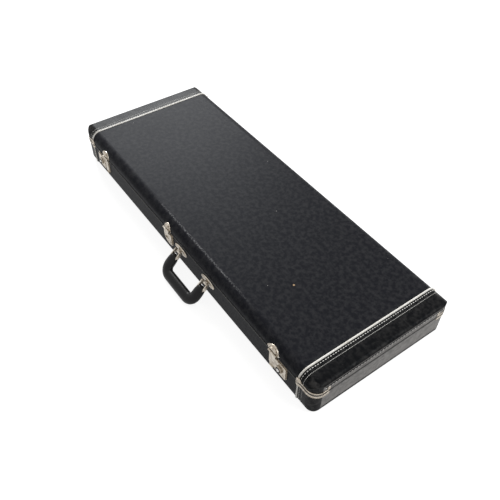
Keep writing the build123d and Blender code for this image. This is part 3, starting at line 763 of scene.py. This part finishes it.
for side, hand in ((-1, "left"), (1, "right")):
    endStitches(side, hand)
    weltLevel = lidHigh.z - endSettings["weltDrop"]
    endBead("lid_end_welt", "lid", side, hand, weltLevel, endSettings["weltRadius"])
    beadLevel = baseLow.z + endSettings["beadRise"]
    endBead("base_end_bead", "base", side, hand, beadLevel, endSettings["beadRadius"])
print("case: end faces")


# The seam: a thin black lip on the lid's edge, all the way round; its black line is partly a trim and partly
# a painted shadow in the seam

seamSettings = {"height": 0.0030, "out": 0.0012, "sunk": 0.0012, "cornerSteps": 10, "corner": 0.025}


def planOutline(bm, grow, level):
    # the rounded outline of the case, larger by grow, as one closed ring of edges
    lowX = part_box("lid_end_cap_left")[0].x - grow
    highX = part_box("lid_end_cap_right")[1].x + grow
    lowY = lidLow.y - grow
    highY = lidHigh.y + grow
    radius = seamSettings["corner"] + grow
    corners = ((highX - radius, lowY + radius, -90), (highX - radius, highY - radius, 0),
               (lowX + radius, highY - radius, 90), (lowX + radius, lowY + radius, 180))
    ring = []
    for centreX, centreY, start in corners:
        for step in range(seamSettings["cornerSteps"] + 1):
            angle = math.radians(start + 90 * step / seamSettings["cornerSteps"])
            x, y = ringPoint((centreX, centreY), radius, angle)
            ring.append(bm.verts.new((x, y, level)))
    return [bm.edges.new((first, second)) for first, second in zip(ring, ring[1:] + ring[:1])]


def seamLipAndShadow():
    bm = bmesh.new()
    inner = planOutline(bm, -seamSettings["sunk"], lidLow.z)
    outer = planOutline(bm, seamSettings["out"], lidLow.z)
    lower = bmesh.ops.bridge_loops(bm, edges=inner + outer)["faces"]
    raised = bmesh.ops.extrude_face_region(bm, geom=lower)
    bmesh.ops.translate(bm, verts=vertsOf(raised["geom"]), vec=(0, 0, seamSettings["height"]))
    settle(linkPiece("lid_seam_lip_and_shadow", bm, finishes["rubber"]), "lid")


seamLipAndShadow()
print("case: seam")


# Corner bands: thin plated strips that wrap each corner, the lid's with an ear over the piping

bandSettings = {
    "thick": 0.0011, "height": 0.0066, "gap": 0.0019, "earHeight": 0.0175, "earWidth": 0.0175,
    "curlRun": 0.0190, "curlRadius": 0.0068, "bulge": 0.0027, "bulgeHalf": 0.0042,
    "frontReach": 0.0580, "endReach": 0.0500, "clear": 0.0001, "earPower": 0.45,
    "tip": 0.003, "tipShare": 0.3, "steps": 56, "rows": 4, "ribDepth": 0.0005, "ribHalf": 0.3,
}
pipingMiddle = middleOf("lid_piping_right")[0]


def alongCorner(s, out):
    # the place that lies s along the case's outline, from the front leg to the end leg, and out from it
    radius = seamSettings["corner"]
    straight = bandSettings["frontReach"] - radius
    bend = radius * math.pi / 2
    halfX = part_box("lid_end_cap_right")[1].x
    if s < straight:
        return Vector((halfX - bandSettings["frontReach"] + s, lidLow.y - out))
    if s < straight + bend:
        angle = (s - straight) / radius - math.pi / 2
        return ringPoint((halfX - radius, lidLow.y + radius), radius + out, angle)
    return Vector((halfX + out, lidLow.y + radius + s - straight - bend))


def bandTop(s, length, upper):
    # how tall the strip is at s: an ear at the lid strip's start, and both ends rounded off
    top = bandSettings["height"]
    earWidth = bandSettings["earWidth"]
    if s < earWidth and upper:
        lift = math.sin(math.pi * min(s / earWidth, 1.0)) ** bandSettings["earPower"]
        top = max(top, lift * bandSettings["earHeight"])
    taper = min(s, length - s)
    if taper < bandSettings["tip"]:
        least = bandSettings["tipShare"]
        top *= math.sqrt(1 - (1 - taper / bandSettings["tip"]) ** 2) * (1 - least) + least
    return top


def bandCurl(s, share, top, length):
    # the lid strip's last stretch curls up and back: the place along it and its rise
    start = length - bandSettings["curlRun"]
    if s < start:
        return s, share * top
    angle = (s - start) / bandSettings["curlRadius"]
    reach = bandSettings["curlRadius"] - (share - 0.5) * top
    rise = top / 2 + bandSettings["curlRadius"] - reach * math.cos(angle)
    return start + reach * math.sin(angle), rise


def bandBulge(s):
    # the strip is pressed outwards where it crosses the piping bead
    bead = bandSettings["frontReach"] - (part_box("lid_end_cap_right")[1].x - pipingMiddle)
    return bandSettings["bulge"] * math.exp(-((s - bead) / bandSettings["bulgeHalf"]) ** 2)


def cornerBand(bm, flipX, flipY, upper):
    radius = seamSettings["corner"]
    length = bandSettings["frontReach"] + bandSettings["endReach"] - 2 * radius + radius * math.pi / 2
    if not upper:
        length -= bandSettings["curlRun"] / 2
    middleY = (lidLow.y + lidHigh.y) / 2
    grid = bmesh.ops.create_grid(
        bm, x_segments=bandSettings["steps"], y_segments=bandSettings["rows"], size=0.5
    )
    faces = list({face for vert in grid["verts"] for face in vert.link_faces})
    shell = bmesh.ops.extrude_face_region(bm, geom=faces)
    outerVerts = set(vertsOf(shell["geom"]))
    for vert in list(grid["verts"]) + list(outerVerts):
        s = (vert.co.x + 0.5) * length
        share = vert.co.y + 0.5
        top = bandTop(s, length, upper)
        place, lift = bandCurl(s, share, top, length) if upper else (s, share * top)
        rise = bandSettings["gap"] + lift
        out = bandSettings["clear"] + bandBulge(s)
        if vert in outerVerts:
            out += bandSettings["thick"]
            out -= bandSettings["ribDepth"] if abs(share - 0.5) < bandSettings["ribHalf"] else 0.0
        x, y = alongCorner(place, out)
        z = lidLow.z + rise if upper else baseHigh.z - rise
        vert.co = (flipX * x, y if flipY > 0 else 2 * middleY - y, z)


def cornerBands(upper):
    bm = bmesh.new()
    for flipX in (-1, 1):
        for flipY in (-1, 1):
            cornerBand(bm, flipX, flipY, upper)
    level = "lid" if upper else "base"
    piece = linkPiece(f"{level}_bands", bm, finishes["nickel"])
    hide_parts(f"{level}_corner_bands")
    settle(piece, level)


cornerBands(True)
cornerBands(False)


# Rivets with domed heads, on the bands, the handle plates and the lock

rivetSettings = {
    "radius": 0.0027, "dome": 0.0012, "inset": 0.0067, "earDrop": 0.0055,
    "lockAside": 0.005, "lockRise": 0.0055, "lockOut": 0.0012, "sides": (16, 8),
}


def domeMesh():
    around, rings = rivetSettings["sides"]
    bm = bmesh.new()
    bmesh.ops.create_uvsphere(bm, u_segments=around, v_segments=rings, radius=1.0)
    bmesh.ops.bisect_plane(
        bm, geom=bm.verts[:] + bm.edges[:] + bm.faces[:], plane_co=(0, 0, 0), plane_no=(0, 0, 1),
        clear_inner=True,
    )
    radius = rivetSettings["radius"]
    bmesh.ops.scale(bm, verts=bm.verts, vec=(radius, radius, rivetSettings["dome"]))
    mesh = bpy.data.meshes.new("rivetHead")
    bm.to_mesh(mesh)
    bm.free()
    return mesh


def frontRivets(name, places, body, node):
    template = domeMesh()
    bm = bmesh.new()
    for x, z, out in places:
        turn = Matrix.Rotation(math.pi / 2, 4, "X")
        addMesh(bm, template, Matrix.Translation((x, lidLow.y - out, z)) @ turn)
    piece = linkPiece(name, bm, finishes["nickel"])
    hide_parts(node)
    settle(piece, body)


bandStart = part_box("lid_end_cap_right")[1].x - bandSettings["frontReach"]
earX = bandStart + rivetSettings["inset"]
earZ = lidLow.z + bandSettings["earHeight"] - rivetSettings["earDrop"]
bandOut = bandSettings["thick"]
frontRivets("lid_rivet_heads", [(-earX, earZ, bandOut), (earX, earZ, bandOut)], "lid", "lid_rivets")


# Handle: oval plates, each with an eye on a short strap, and a thick padded grip

handleSettings = {
    "halfSpan": 0.062, "reach": 0.0592, "droop": 45.0, "width": 0.0295, "thick": 0.0225,
    "corner": 0.021, "legStart": 0.0090, "legNeck": 0.66, "neckRun": 0.018, "swell": 0.05, "sides": 28,
    "legSteps": 4, "bendSteps": 10, "barSteps": 12,
    "plateHalf": (0.028, 0.0125), "plateThick": 0.0015, "plateSides": 40, "plateRim": 0.94,
    "eyeRadius": 0.0034, "eyeHalf": 0.0070, "eyeSides": 20,
    "strapHalf": 0.0052, "strapBevel": 0.0012, "rivetAt": 0.0195,
}
pivot = Vector(middleOf("handle_pivot_pins"))


def handlePlates():
    bm = bmesh.new()
    halfX, halfZ = handleSettings["plateHalf"]
    frontY = lidLow.y
    for hand in (-1, 1):
        centre = Vector((pivot.x + hand * handleSettings["halfSpan"], frontY, pivot.z))
        plate = bmesh.ops.create_cone(
            bm, cap_ends=True, segments=handleSettings["plateSides"], radius1=1.0,
            radius2=handleSettings["plateRim"], depth=1.0
        )["verts"]
        bmesh.ops.scale(bm, verts=plate, vec=(halfX, halfZ, handleSettings["plateThick"]))
        bmesh.ops.rotate(bm, verts=plate, matrix=Matrix.Rotation(math.pi / 2, 3, "X"))
        lift = Vector((0, -handleSettings["plateThick"] / 2, 0))
        bmesh.ops.translate(bm, verts=plate, vec=centre + lift)
        eye = bmesh.ops.create_cone(
            bm, cap_ends=True, segments=handleSettings["eyeSides"], radius1=handleSettings["eyeRadius"],
            radius2=handleSettings["eyeRadius"], depth=2 * handleSettings["eyeHalf"]
        )["verts"]
        bmesh.ops.rotate(bm, verts=eye, matrix=Matrix.Rotation(math.pi / 2, 3, "Y"))
        bmesh.ops.translate(bm, verts=eye, vec=(centre.x, pivot.y, pivot.z))
        strap = bmesh.ops.create_cube(bm, size=1.0)["verts"]
        depth = frontY - pivot.y
        size = (2 * handleSettings["strapHalf"], depth, 2 * handleSettings["eyeRadius"])
        bmesh.ops.scale(bm, verts=strap, vec=size)
        bmesh.ops.translate(bm, verts=strap, vec=(centre.x, frontY - depth / 2, pivot.z))
        edges = list({edge for vert in strap for edge in vert.link_edges})
        bmesh.ops.bevel(
            bm, geom=edges, offset=handleSettings["strapBevel"], segments=2, affect="EDGES",
            profile=0.5, material=-1
        )
    piece = linkPiece("handle_oval_plates", bm, finishes["nickel"])
    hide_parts("handle_plates")
    settle(piece, "base")


def extrudeRing(bm, ring, way):
    pushed = bmesh.ops.extrude_edge_only(bm, edges=ring)["geom"]
    moved = vertsOf(pushed)
    bmesh.ops.translate(bm, verts=moved, vec=way)
    return [edge for edge in edgesOf(pushed) if edge.verts[0] in moved and edge.verts[1] in moved]


def spinRing(bm, ring, centre, axis, angle, steps):
    turned = bmesh.ops.spin(
        bm, geom=ring, cent=centre, axis=axis, dvec=(0, 0, 0), angle=angle, steps=steps,
        use_merge=False, use_normal_flip=False, use_duplicate=False,
    )["geom_last"]
    return edgesOf(turned)


def gripMesh():
    # drawn flat first: legs along Y, the bar along X; then turned about the pivot
    half = handleSettings["halfSpan"]
    corner = handleSettings["corner"]
    legRun = handleSettings["reach"] - corner - handleSettings["legStart"]
    legSteps = handleSettings["legSteps"]
    bendSteps = handleSettings["bendSteps"]
    barSteps = handleSettings["barSteps"]
    bm = bmesh.new()
    circle = bmesh.ops.create_circle(
        bm, cap_ends=True, segments=handleSettings["sides"], radius=1.0
    )["verts"]
    bmesh.ops.scale(bm, verts=circle, vec=(handleSettings["width"] / 2, handleSettings["thick"] / 2, 1))
    bmesh.ops.rotate(bm, verts=circle, matrix=Matrix.Rotation(math.pi / 2, 3, "X"))
    bmesh.ops.translate(bm, verts=circle, vec=(-half, handleSettings["legStart"], 0))
    ring = list(bm.edges)
    for step in range(legSteps):
        ring = extrudeRing(bm, ring, (0, legRun / legSteps, 0))
    middle = handleSettings["reach"] - corner
    ring = spinRing(bm, ring, (-half + corner, middle, 0), (0, 0, -1), math.pi / 2, bendSteps)
    for step in range(barSteps):
        ring = extrudeRing(bm, ring, ((2 * half - 2 * corner) / barSteps, 0, 0))
    ring = spinRing(bm, ring, (half - corner, middle, 0), (0, 0, -1), math.pi / 2, bendSteps)
    for step in range(legSteps):
        ring = extrudeRing(bm, ring, (0, -legRun / legSteps, 0))
    bmesh.ops.contextual_create(bm, geom=ring)
    bmesh.ops.remove_doubles(bm, verts=bm.verts, dist=mergeWithin)
    for vert in bm.verts:
        # a fuller middle and narrower leg ends
        fullness = 1 + handleSettings["swell"] * math.cos(min(abs(vert.co.x) / half, 1) * math.pi / 2)
        ends = min((vert.co.y - handleSettings["legStart"]) / handleSettings["neckRun"], 1.0)
        neck = handleSettings["legNeck"]
        narrow = neck + (1 - neck) * math.sin(max(ends, 0) * math.pi / 2)
        vert.co.z *= fullness * narrow
        if vert.co.y < handleSettings["legStart"] + handleSettings["neckRun"]:
            side = half if vert.co.x > 0 else -half
            vert.co.x = side + (vert.co.x - side) * narrow
    return bm


def grip():
    bm = gripMesh()
    tilt = Matrix.Rotation(math.radians(180 + handleSettings["droop"]), 4, "X")
    bmesh.ops.transform(bm, matrix=Matrix.Translation(pivot) @ tilt, verts=bm.verts)
    piece = linkPiece("handle_padded_grip", bm, finishes["grip"])
    smoother = piece.modifiers.new("soften", "SUBSURF")
    smoother.levels = 1
    smoother.render_levels = 1
    applyModifiers(piece)
    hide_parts("handle_grip")
    settle(piece, "handle")


handlePlates()
grip()
rivetPlaces = []
for hand in (-1, 1):
    plateX = pivot.x + hand * handleSettings["halfSpan"]
    for side in (-1, 1):
        rivetPlaces.append((plateX + side * handleSettings["rivetAt"], pivot.z, handleSettings["plateThick"]))
lockX = middleOf("lock_plate")[0] - rivetSettings["lockAside"]
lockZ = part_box("lock_plate")[0].z + rivetSettings["lockRise"]
rivetPlaces.append((lockX, lockZ, rivetSettings["lockOut"]))
frontRivets("base_rivet_heads", rivetPlaces, "base", "base_rivets")
print("case: bands, rivets and handle")


# Latches and lock: a slimmer lock cap, and on each latch button a dome in a dark ring of painted shadow

fittingSettings = {
    "capShare": 0.66, "domeRadius": 0.0046, "domeHeight": 0.0030, "domeSides": (24, 12),
    "rimRadius": 0.0068, "rimHalf": 0.0010, "rimSides": 10, "rimSteps": 40,
}


def slimLockCap():
    # the same pressed cap, drawn in towards its middle
    bm = bmesh.new()
    bm.from_mesh(frame["nodes"]["lock_cap"].data)
    bmesh.ops.remove_doubles(bm, verts=bm.verts, dist=mergeWithin)
    middle = Vector((middleOf("lock_cap")[0], 0, 0))
    bmesh.ops.scale(
        bm, verts=bm.verts, vec=(fittingSettings["capShare"], 1, 1), space=Matrix.Translation(-middle)
    )
    piece = linkPiece("lock_slim_cap", bm, finishes["nickel"])
    piece.data.shade_flat()
    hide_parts("lock_cap")
    settle(piece, "lid")


def onFront(bm, centre):
    upright = Matrix.Rotation(math.pi / 2, 4, "X")
    bmesh.ops.transform(bm, matrix=Matrix.Translation(centre) @ upright, verts=bm.verts)


def buttonDome(name, centre, body):
    around, rings = fittingSettings["domeSides"]
    bm = bmesh.new()
    dome = bmesh.ops.create_uvsphere(bm, u_segments=around, v_segments=rings, radius=1.0)["verts"]
    radius = fittingSettings["domeRadius"]
    bmesh.ops.scale(bm, verts=dome, vec=(radius, radius, fittingSettings["domeHeight"]))
    onFront(bm, centre)
    settle(linkPiece(name, bm, finishes["steel_pin"]), body)


def buttonGrooveShadow(name, centre, body):
    # a dark ring round the dome: a painted shadow at the dome's foot
    bm = bmesh.new()
    wire = bmesh.ops.create_circle(
        bm, segments=fittingSettings["rimSides"], radius=fittingSettings["rimHalf"]
    )["verts"]
    bmesh.ops.rotate(bm, verts=wire, matrix=Matrix.Rotation(math.pi / 2, 3, "X"))
    bmesh.ops.translate(bm, verts=wire, vec=(fittingSettings["rimRadius"], 0, 0))
    loop = list({edge for vert in wire for edge in vert.link_edges})
    bmesh.ops.spin(
        bm, geom=loop, cent=(0, 0, 0), axis=(0, 0, 1), dvec=(0, 0, 0), angle=2 * math.pi,
        steps=fittingSettings["rimSteps"], use_merge=True, use_normal_flip=False, use_duplicate=False,
    )
    bmesh.ops.remove_doubles(bm, verts=bm.verts, dist=mergeWithin)
    onFront(bm, centre)
    settle(linkPiece(name, bm, finishes["grip"]), body)


def fittingTop(node):
    x, y, z = middleOf(node)
    centre = Vector((x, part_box(node)[0].y, z))
    buttonDome(f"{node}_dome", centre, node)
    buttonGrooveShadow(f"{node}_groove_shadow", centre, node)


slimLockCap()
for hand in ("left", "right"):
    fittingTop(f"latch_{hand}_button")
print("case: latch fittings")


# Hinge screws: three domed heads in each leaf, along the back

screwSettings = {"spacing": 0.330, "pitch": 0.022, "leaf": 0.0012, "baseDrop": 0.0125, "lidRise": 0.0080}


def hingeScrews(name, body, level):
    template = domeMesh()
    turn = Matrix.Rotation(-math.pi / 2, 4, "X")
    bm = bmesh.new()
    for hinge in (-1, 0, 1):
        for screw in (-1, 0, 1):
            x = hinge * screwSettings["spacing"] + screw * screwSettings["pitch"]
            addMesh(bm, template, Matrix.Translation((x, lidHigh.y + screwSettings["leaf"], level)) @ turn)
    settle(linkPiece(name, bm, finishes["nickel"]), body)


hingeScrews("base_hinge_screws", "base", baseHigh.z - screwSettings["baseDrop"])
hingeScrews("lid_hinge_screws", "lid", lidLow.z + screwSettings["lidRise"])
print("case: hinge screws")


# Inside, under plush: foam blocks, each rounded from its own solid, and a thin pad for each lining

# each block: its voxel size, how often it is smoothed, and how tightly it is filled
blockSettings = {
    "body_bed": (0.005, 10, 0.75), "head_bed": (0.005, 10, 0.75), "neck_side_pad": (0.005, 10, 0.75),
    "neck_rest": (0.003, 6, 0.7),
}
surfaceSettings = {"shrink": 0.0008, "ripple": 0.0009, "waveX": 38, "waveY": 47, "waveStart": 1.3}


def softBlock(nodeName):
    voxel, passes, fill = blockSettings[nodeName]
    bm = bmesh.new()
    bm.from_mesh(frame["nodes"][nodeName].data)
    bmesh.ops.remove_doubles(bm, verts=bm.verts, dist=mergeWithin)
    piece = linkPiece(f"{nodeName}_pad", bm, finishes["plush"])
    remesh = piece.modifiers.new("even", "REMESH")
    remesh.mode = "VOXEL"
    remesh.voxel_size = voxel
    applyModifiers(piece)
    bm = bmesh.new()
    bm.from_mesh(piece.data)
    for step in range(passes):
        bmesh.ops.smooth_vert(
            bm, verts=bm.verts, factor=0.5, use_axis_x=True, use_axis_y=True, use_axis_z=True
        )
    bm.normal_update()
    half = surfaceSettings["ripple"] * 0.5
    for vert in bm.verts:
        across = math.sin(vert.co.x * surfaceSettings["waveX"])
        wave = across * math.sin(vert.co.y * surfaceSettings["waveY"] + surfaceSettings["waveStart"])
        vert.co -= vert.normal * (surfaceSettings["shrink"] - half * wave)
    bm.to_mesh(piece.data)
    bm.free()
    piece.data.shade_smooth()
    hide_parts(nodeName)
    settle(piece, "base")


for nodeName in blockSettings:
    softBlock(nodeName)


liningSettings = {
    "corner": 0.016, "cornerSteps": 8, "stepWidth": 0.004, "stepHeights": (0.0006, 0.0005, 0.0003),
}


def thinPad(nodeName, body, openWay):
    # a thin pad: a plate with rounded corners, whose open face rises in three low steps
    low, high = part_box(nodeName)
    bm = bmesh.new()
    bmesh.ops.create_cube(bm, size=1.0)
    bmesh.ops.scale(bm, verts=bm.verts, vec=(high - low))
    bmesh.ops.translate(bm, verts=bm.verts, vec=(high + low) / 2)
    upright = [edge for edge in bm.edges if abs(edge.verts[0].co.z - edge.verts[1].co.z) > 0.001]
    bmesh.ops.bevel(
        bm, geom=upright, offset=liningSettings["corner"], segments=liningSettings["cornerSteps"],
        affect="EDGES", profile=0.5, material=-1
    )
    openFace = [face for face in bm.faces if face.normal.z * openWay > 0.9]
    for height in liningSettings["stepHeights"]:
        bmesh.ops.inset_region(
            bm, faces=openFace, thickness=liningSettings["stepWidth"], depth=height, use_even_offset=True
        )
    piece = linkPiece(f"{nodeName}_pad", bm, finishes["plush"])
    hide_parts(nodeName)
    settle(piece, body)


thinPad("lid_lining", "lid", -1)
thinPad("base_lining", "base", 1)
print("case: plush interior")


# Camera, light and floor

cameraSettings = {
    "azimuth": 54.093, "elevation": 47.222, "roll": 0.781, "distance": 1.43591,
    "target": (0.12278, -0.03405, 0.070), "lens": 42.03, "sensor": 36.0, "farClip": 50,
}


def placeCamera():
    azimuth = math.radians(cameraSettings["azimuth"])
    elevation = math.radians(cameraSettings["elevation"])
    back = Vector((
        math.sin(azimuth) * math.cos(elevation),
        -math.cos(azimuth) * math.cos(elevation),
        math.sin(elevation),
    ))
    right = (-back).cross(Vector((0, 0, 1))).normalized()
    up = right.cross(-back)
    roll = math.radians(cameraSettings["roll"])
    turnedRight = right * math.cos(roll) + up * math.sin(roll)
    turnedUp = up * math.cos(roll) - right * math.sin(roll)
    place = Vector(cameraSettings["target"]) + back * cameraSettings["distance"]
    camera = bpy.data.objects.new("camera", bpy.data.cameras.new("camera"))
    camera.data.lens = cameraSettings["lens"]
    camera.data.sensor_width = cameraSettings["sensor"]
    camera.data.sensor_fit = "HORIZONTAL"
    camera.data.clip_end = cameraSettings["farClip"]
    camera.matrix_world = Matrix((
        (turnedRight.x, turnedUp.x, back.x, place.x),
        (turnedRight.y, turnedUp.y, back.y, place.y),
        (turnedRight.z, turnedUp.z, back.z, place.z),
        (0, 0, 0, 1),
    ))
    bpy.context.scene.collection.objects.link(camera)
    bpy.context.scene.camera = camera


lightSettings = {
    "keyPlace": (2.3, 1.3, 2.0), "keyAim": (0, 0, 0), "keySize": 1.6, "keyPower": 40.0,
    "farPlace": (-2.9, 1.15, 2.0), "farAim": (0, 0, 0.1), "farSize": (1.8, 1.2), "farPower": 150.0,
    "fill": 0.42, "floorTone": 0.30, "floorLift": 0.88, "floorHalf": 9.0,
}


def areaLamp(name, place, target, size, power):
    lamp = bpy.data.lights.new(name, "AREA")
    lamp.energy = power
    if isinstance(size, tuple):
        lamp.shape = "RECTANGLE"
        lamp.size = size[0]
        lamp.size_y = size[1]
    else:
        lamp.size = size
    holder = bpy.data.objects.new(name, lamp)
    aim = (Vector(target) - Vector(place)).to_track_quat("-Z", "Y")
    holder.matrix_world = Matrix.Translation(place) @ aim.to_matrix().to_4x4()
    bpy.context.scene.collection.objects.link(holder)


def seenRays(tree):
    # one for what the camera sees directly, in gloss or through glass
    path = tree.nodes.new("ShaderNodeLightPath")
    gloss = mathNode(tree, "MAXIMUM", path.outputs["Is Camera Ray"], path.outputs["Is Glossy Ray"])
    return mathNode(tree, "MAXIMUM", gloss, path.outputs["Is Transmission Ray"])


def lightScene():
    for lamp in ("key", "far"):
        settings = [lightSettings[lamp + part] for part in ("Place", "Aim", "Size", "Power")]
        areaLamp(lamp + "Lamp", *settings)
    world = bpy.data.worlds.new("studio")
    bpy.context.scene.world = world
    world.use_nodes = True
    tree = world.node_tree
    sky = tree.nodes["Background"]
    sky.inputs["Color"].default_value = (1, 1, 1, 1)
    join(tree, ramp(tree, seenRays(tree), 0.0, 1.0, lightSettings["fill"], 1.0), sky.inputs["Strength"])


def layFloor():
    bm = bmesh.new()
    bmesh.ops.create_grid(bm, x_segments=1, y_segments=1, size=lightSettings["floorHalf"])
    material = bpy.data.materials.new("paleFloor")
    material.use_nodes = True
    tree = material.node_tree
    tree.nodes.remove(tree.nodes["Principled BSDF"])
    matt = tree.nodes.new("ShaderNodeBsdfDiffuse")
    tone = lightSettings["floorTone"]
    matt.inputs["Color"].default_value = (tone, tone, tone, 1)
    lift = tree.nodes.new("ShaderNodeEmission")
    glow = ramp(tree, seenRays(tree), 0.0, 1.0, 0.0, lightSettings["floorLift"])
    join(tree, glow, lift.inputs["Strength"])
    both = tree.nodes.new("ShaderNodeAddShader")
    join(tree, matt.outputs[0], both.inputs[0])
    join(tree, lift.outputs[0], both.inputs[1])
    join(tree, both.outputs[0], tree.nodes["Material Output"].inputs["Surface"])
    floor = linkPiece("floor", bm, material)


placeCamera()
lightScene()
layFloor()
bpy.context.scene.view_settings.view_transform = "Standard"
print("case: camera, light and floor")
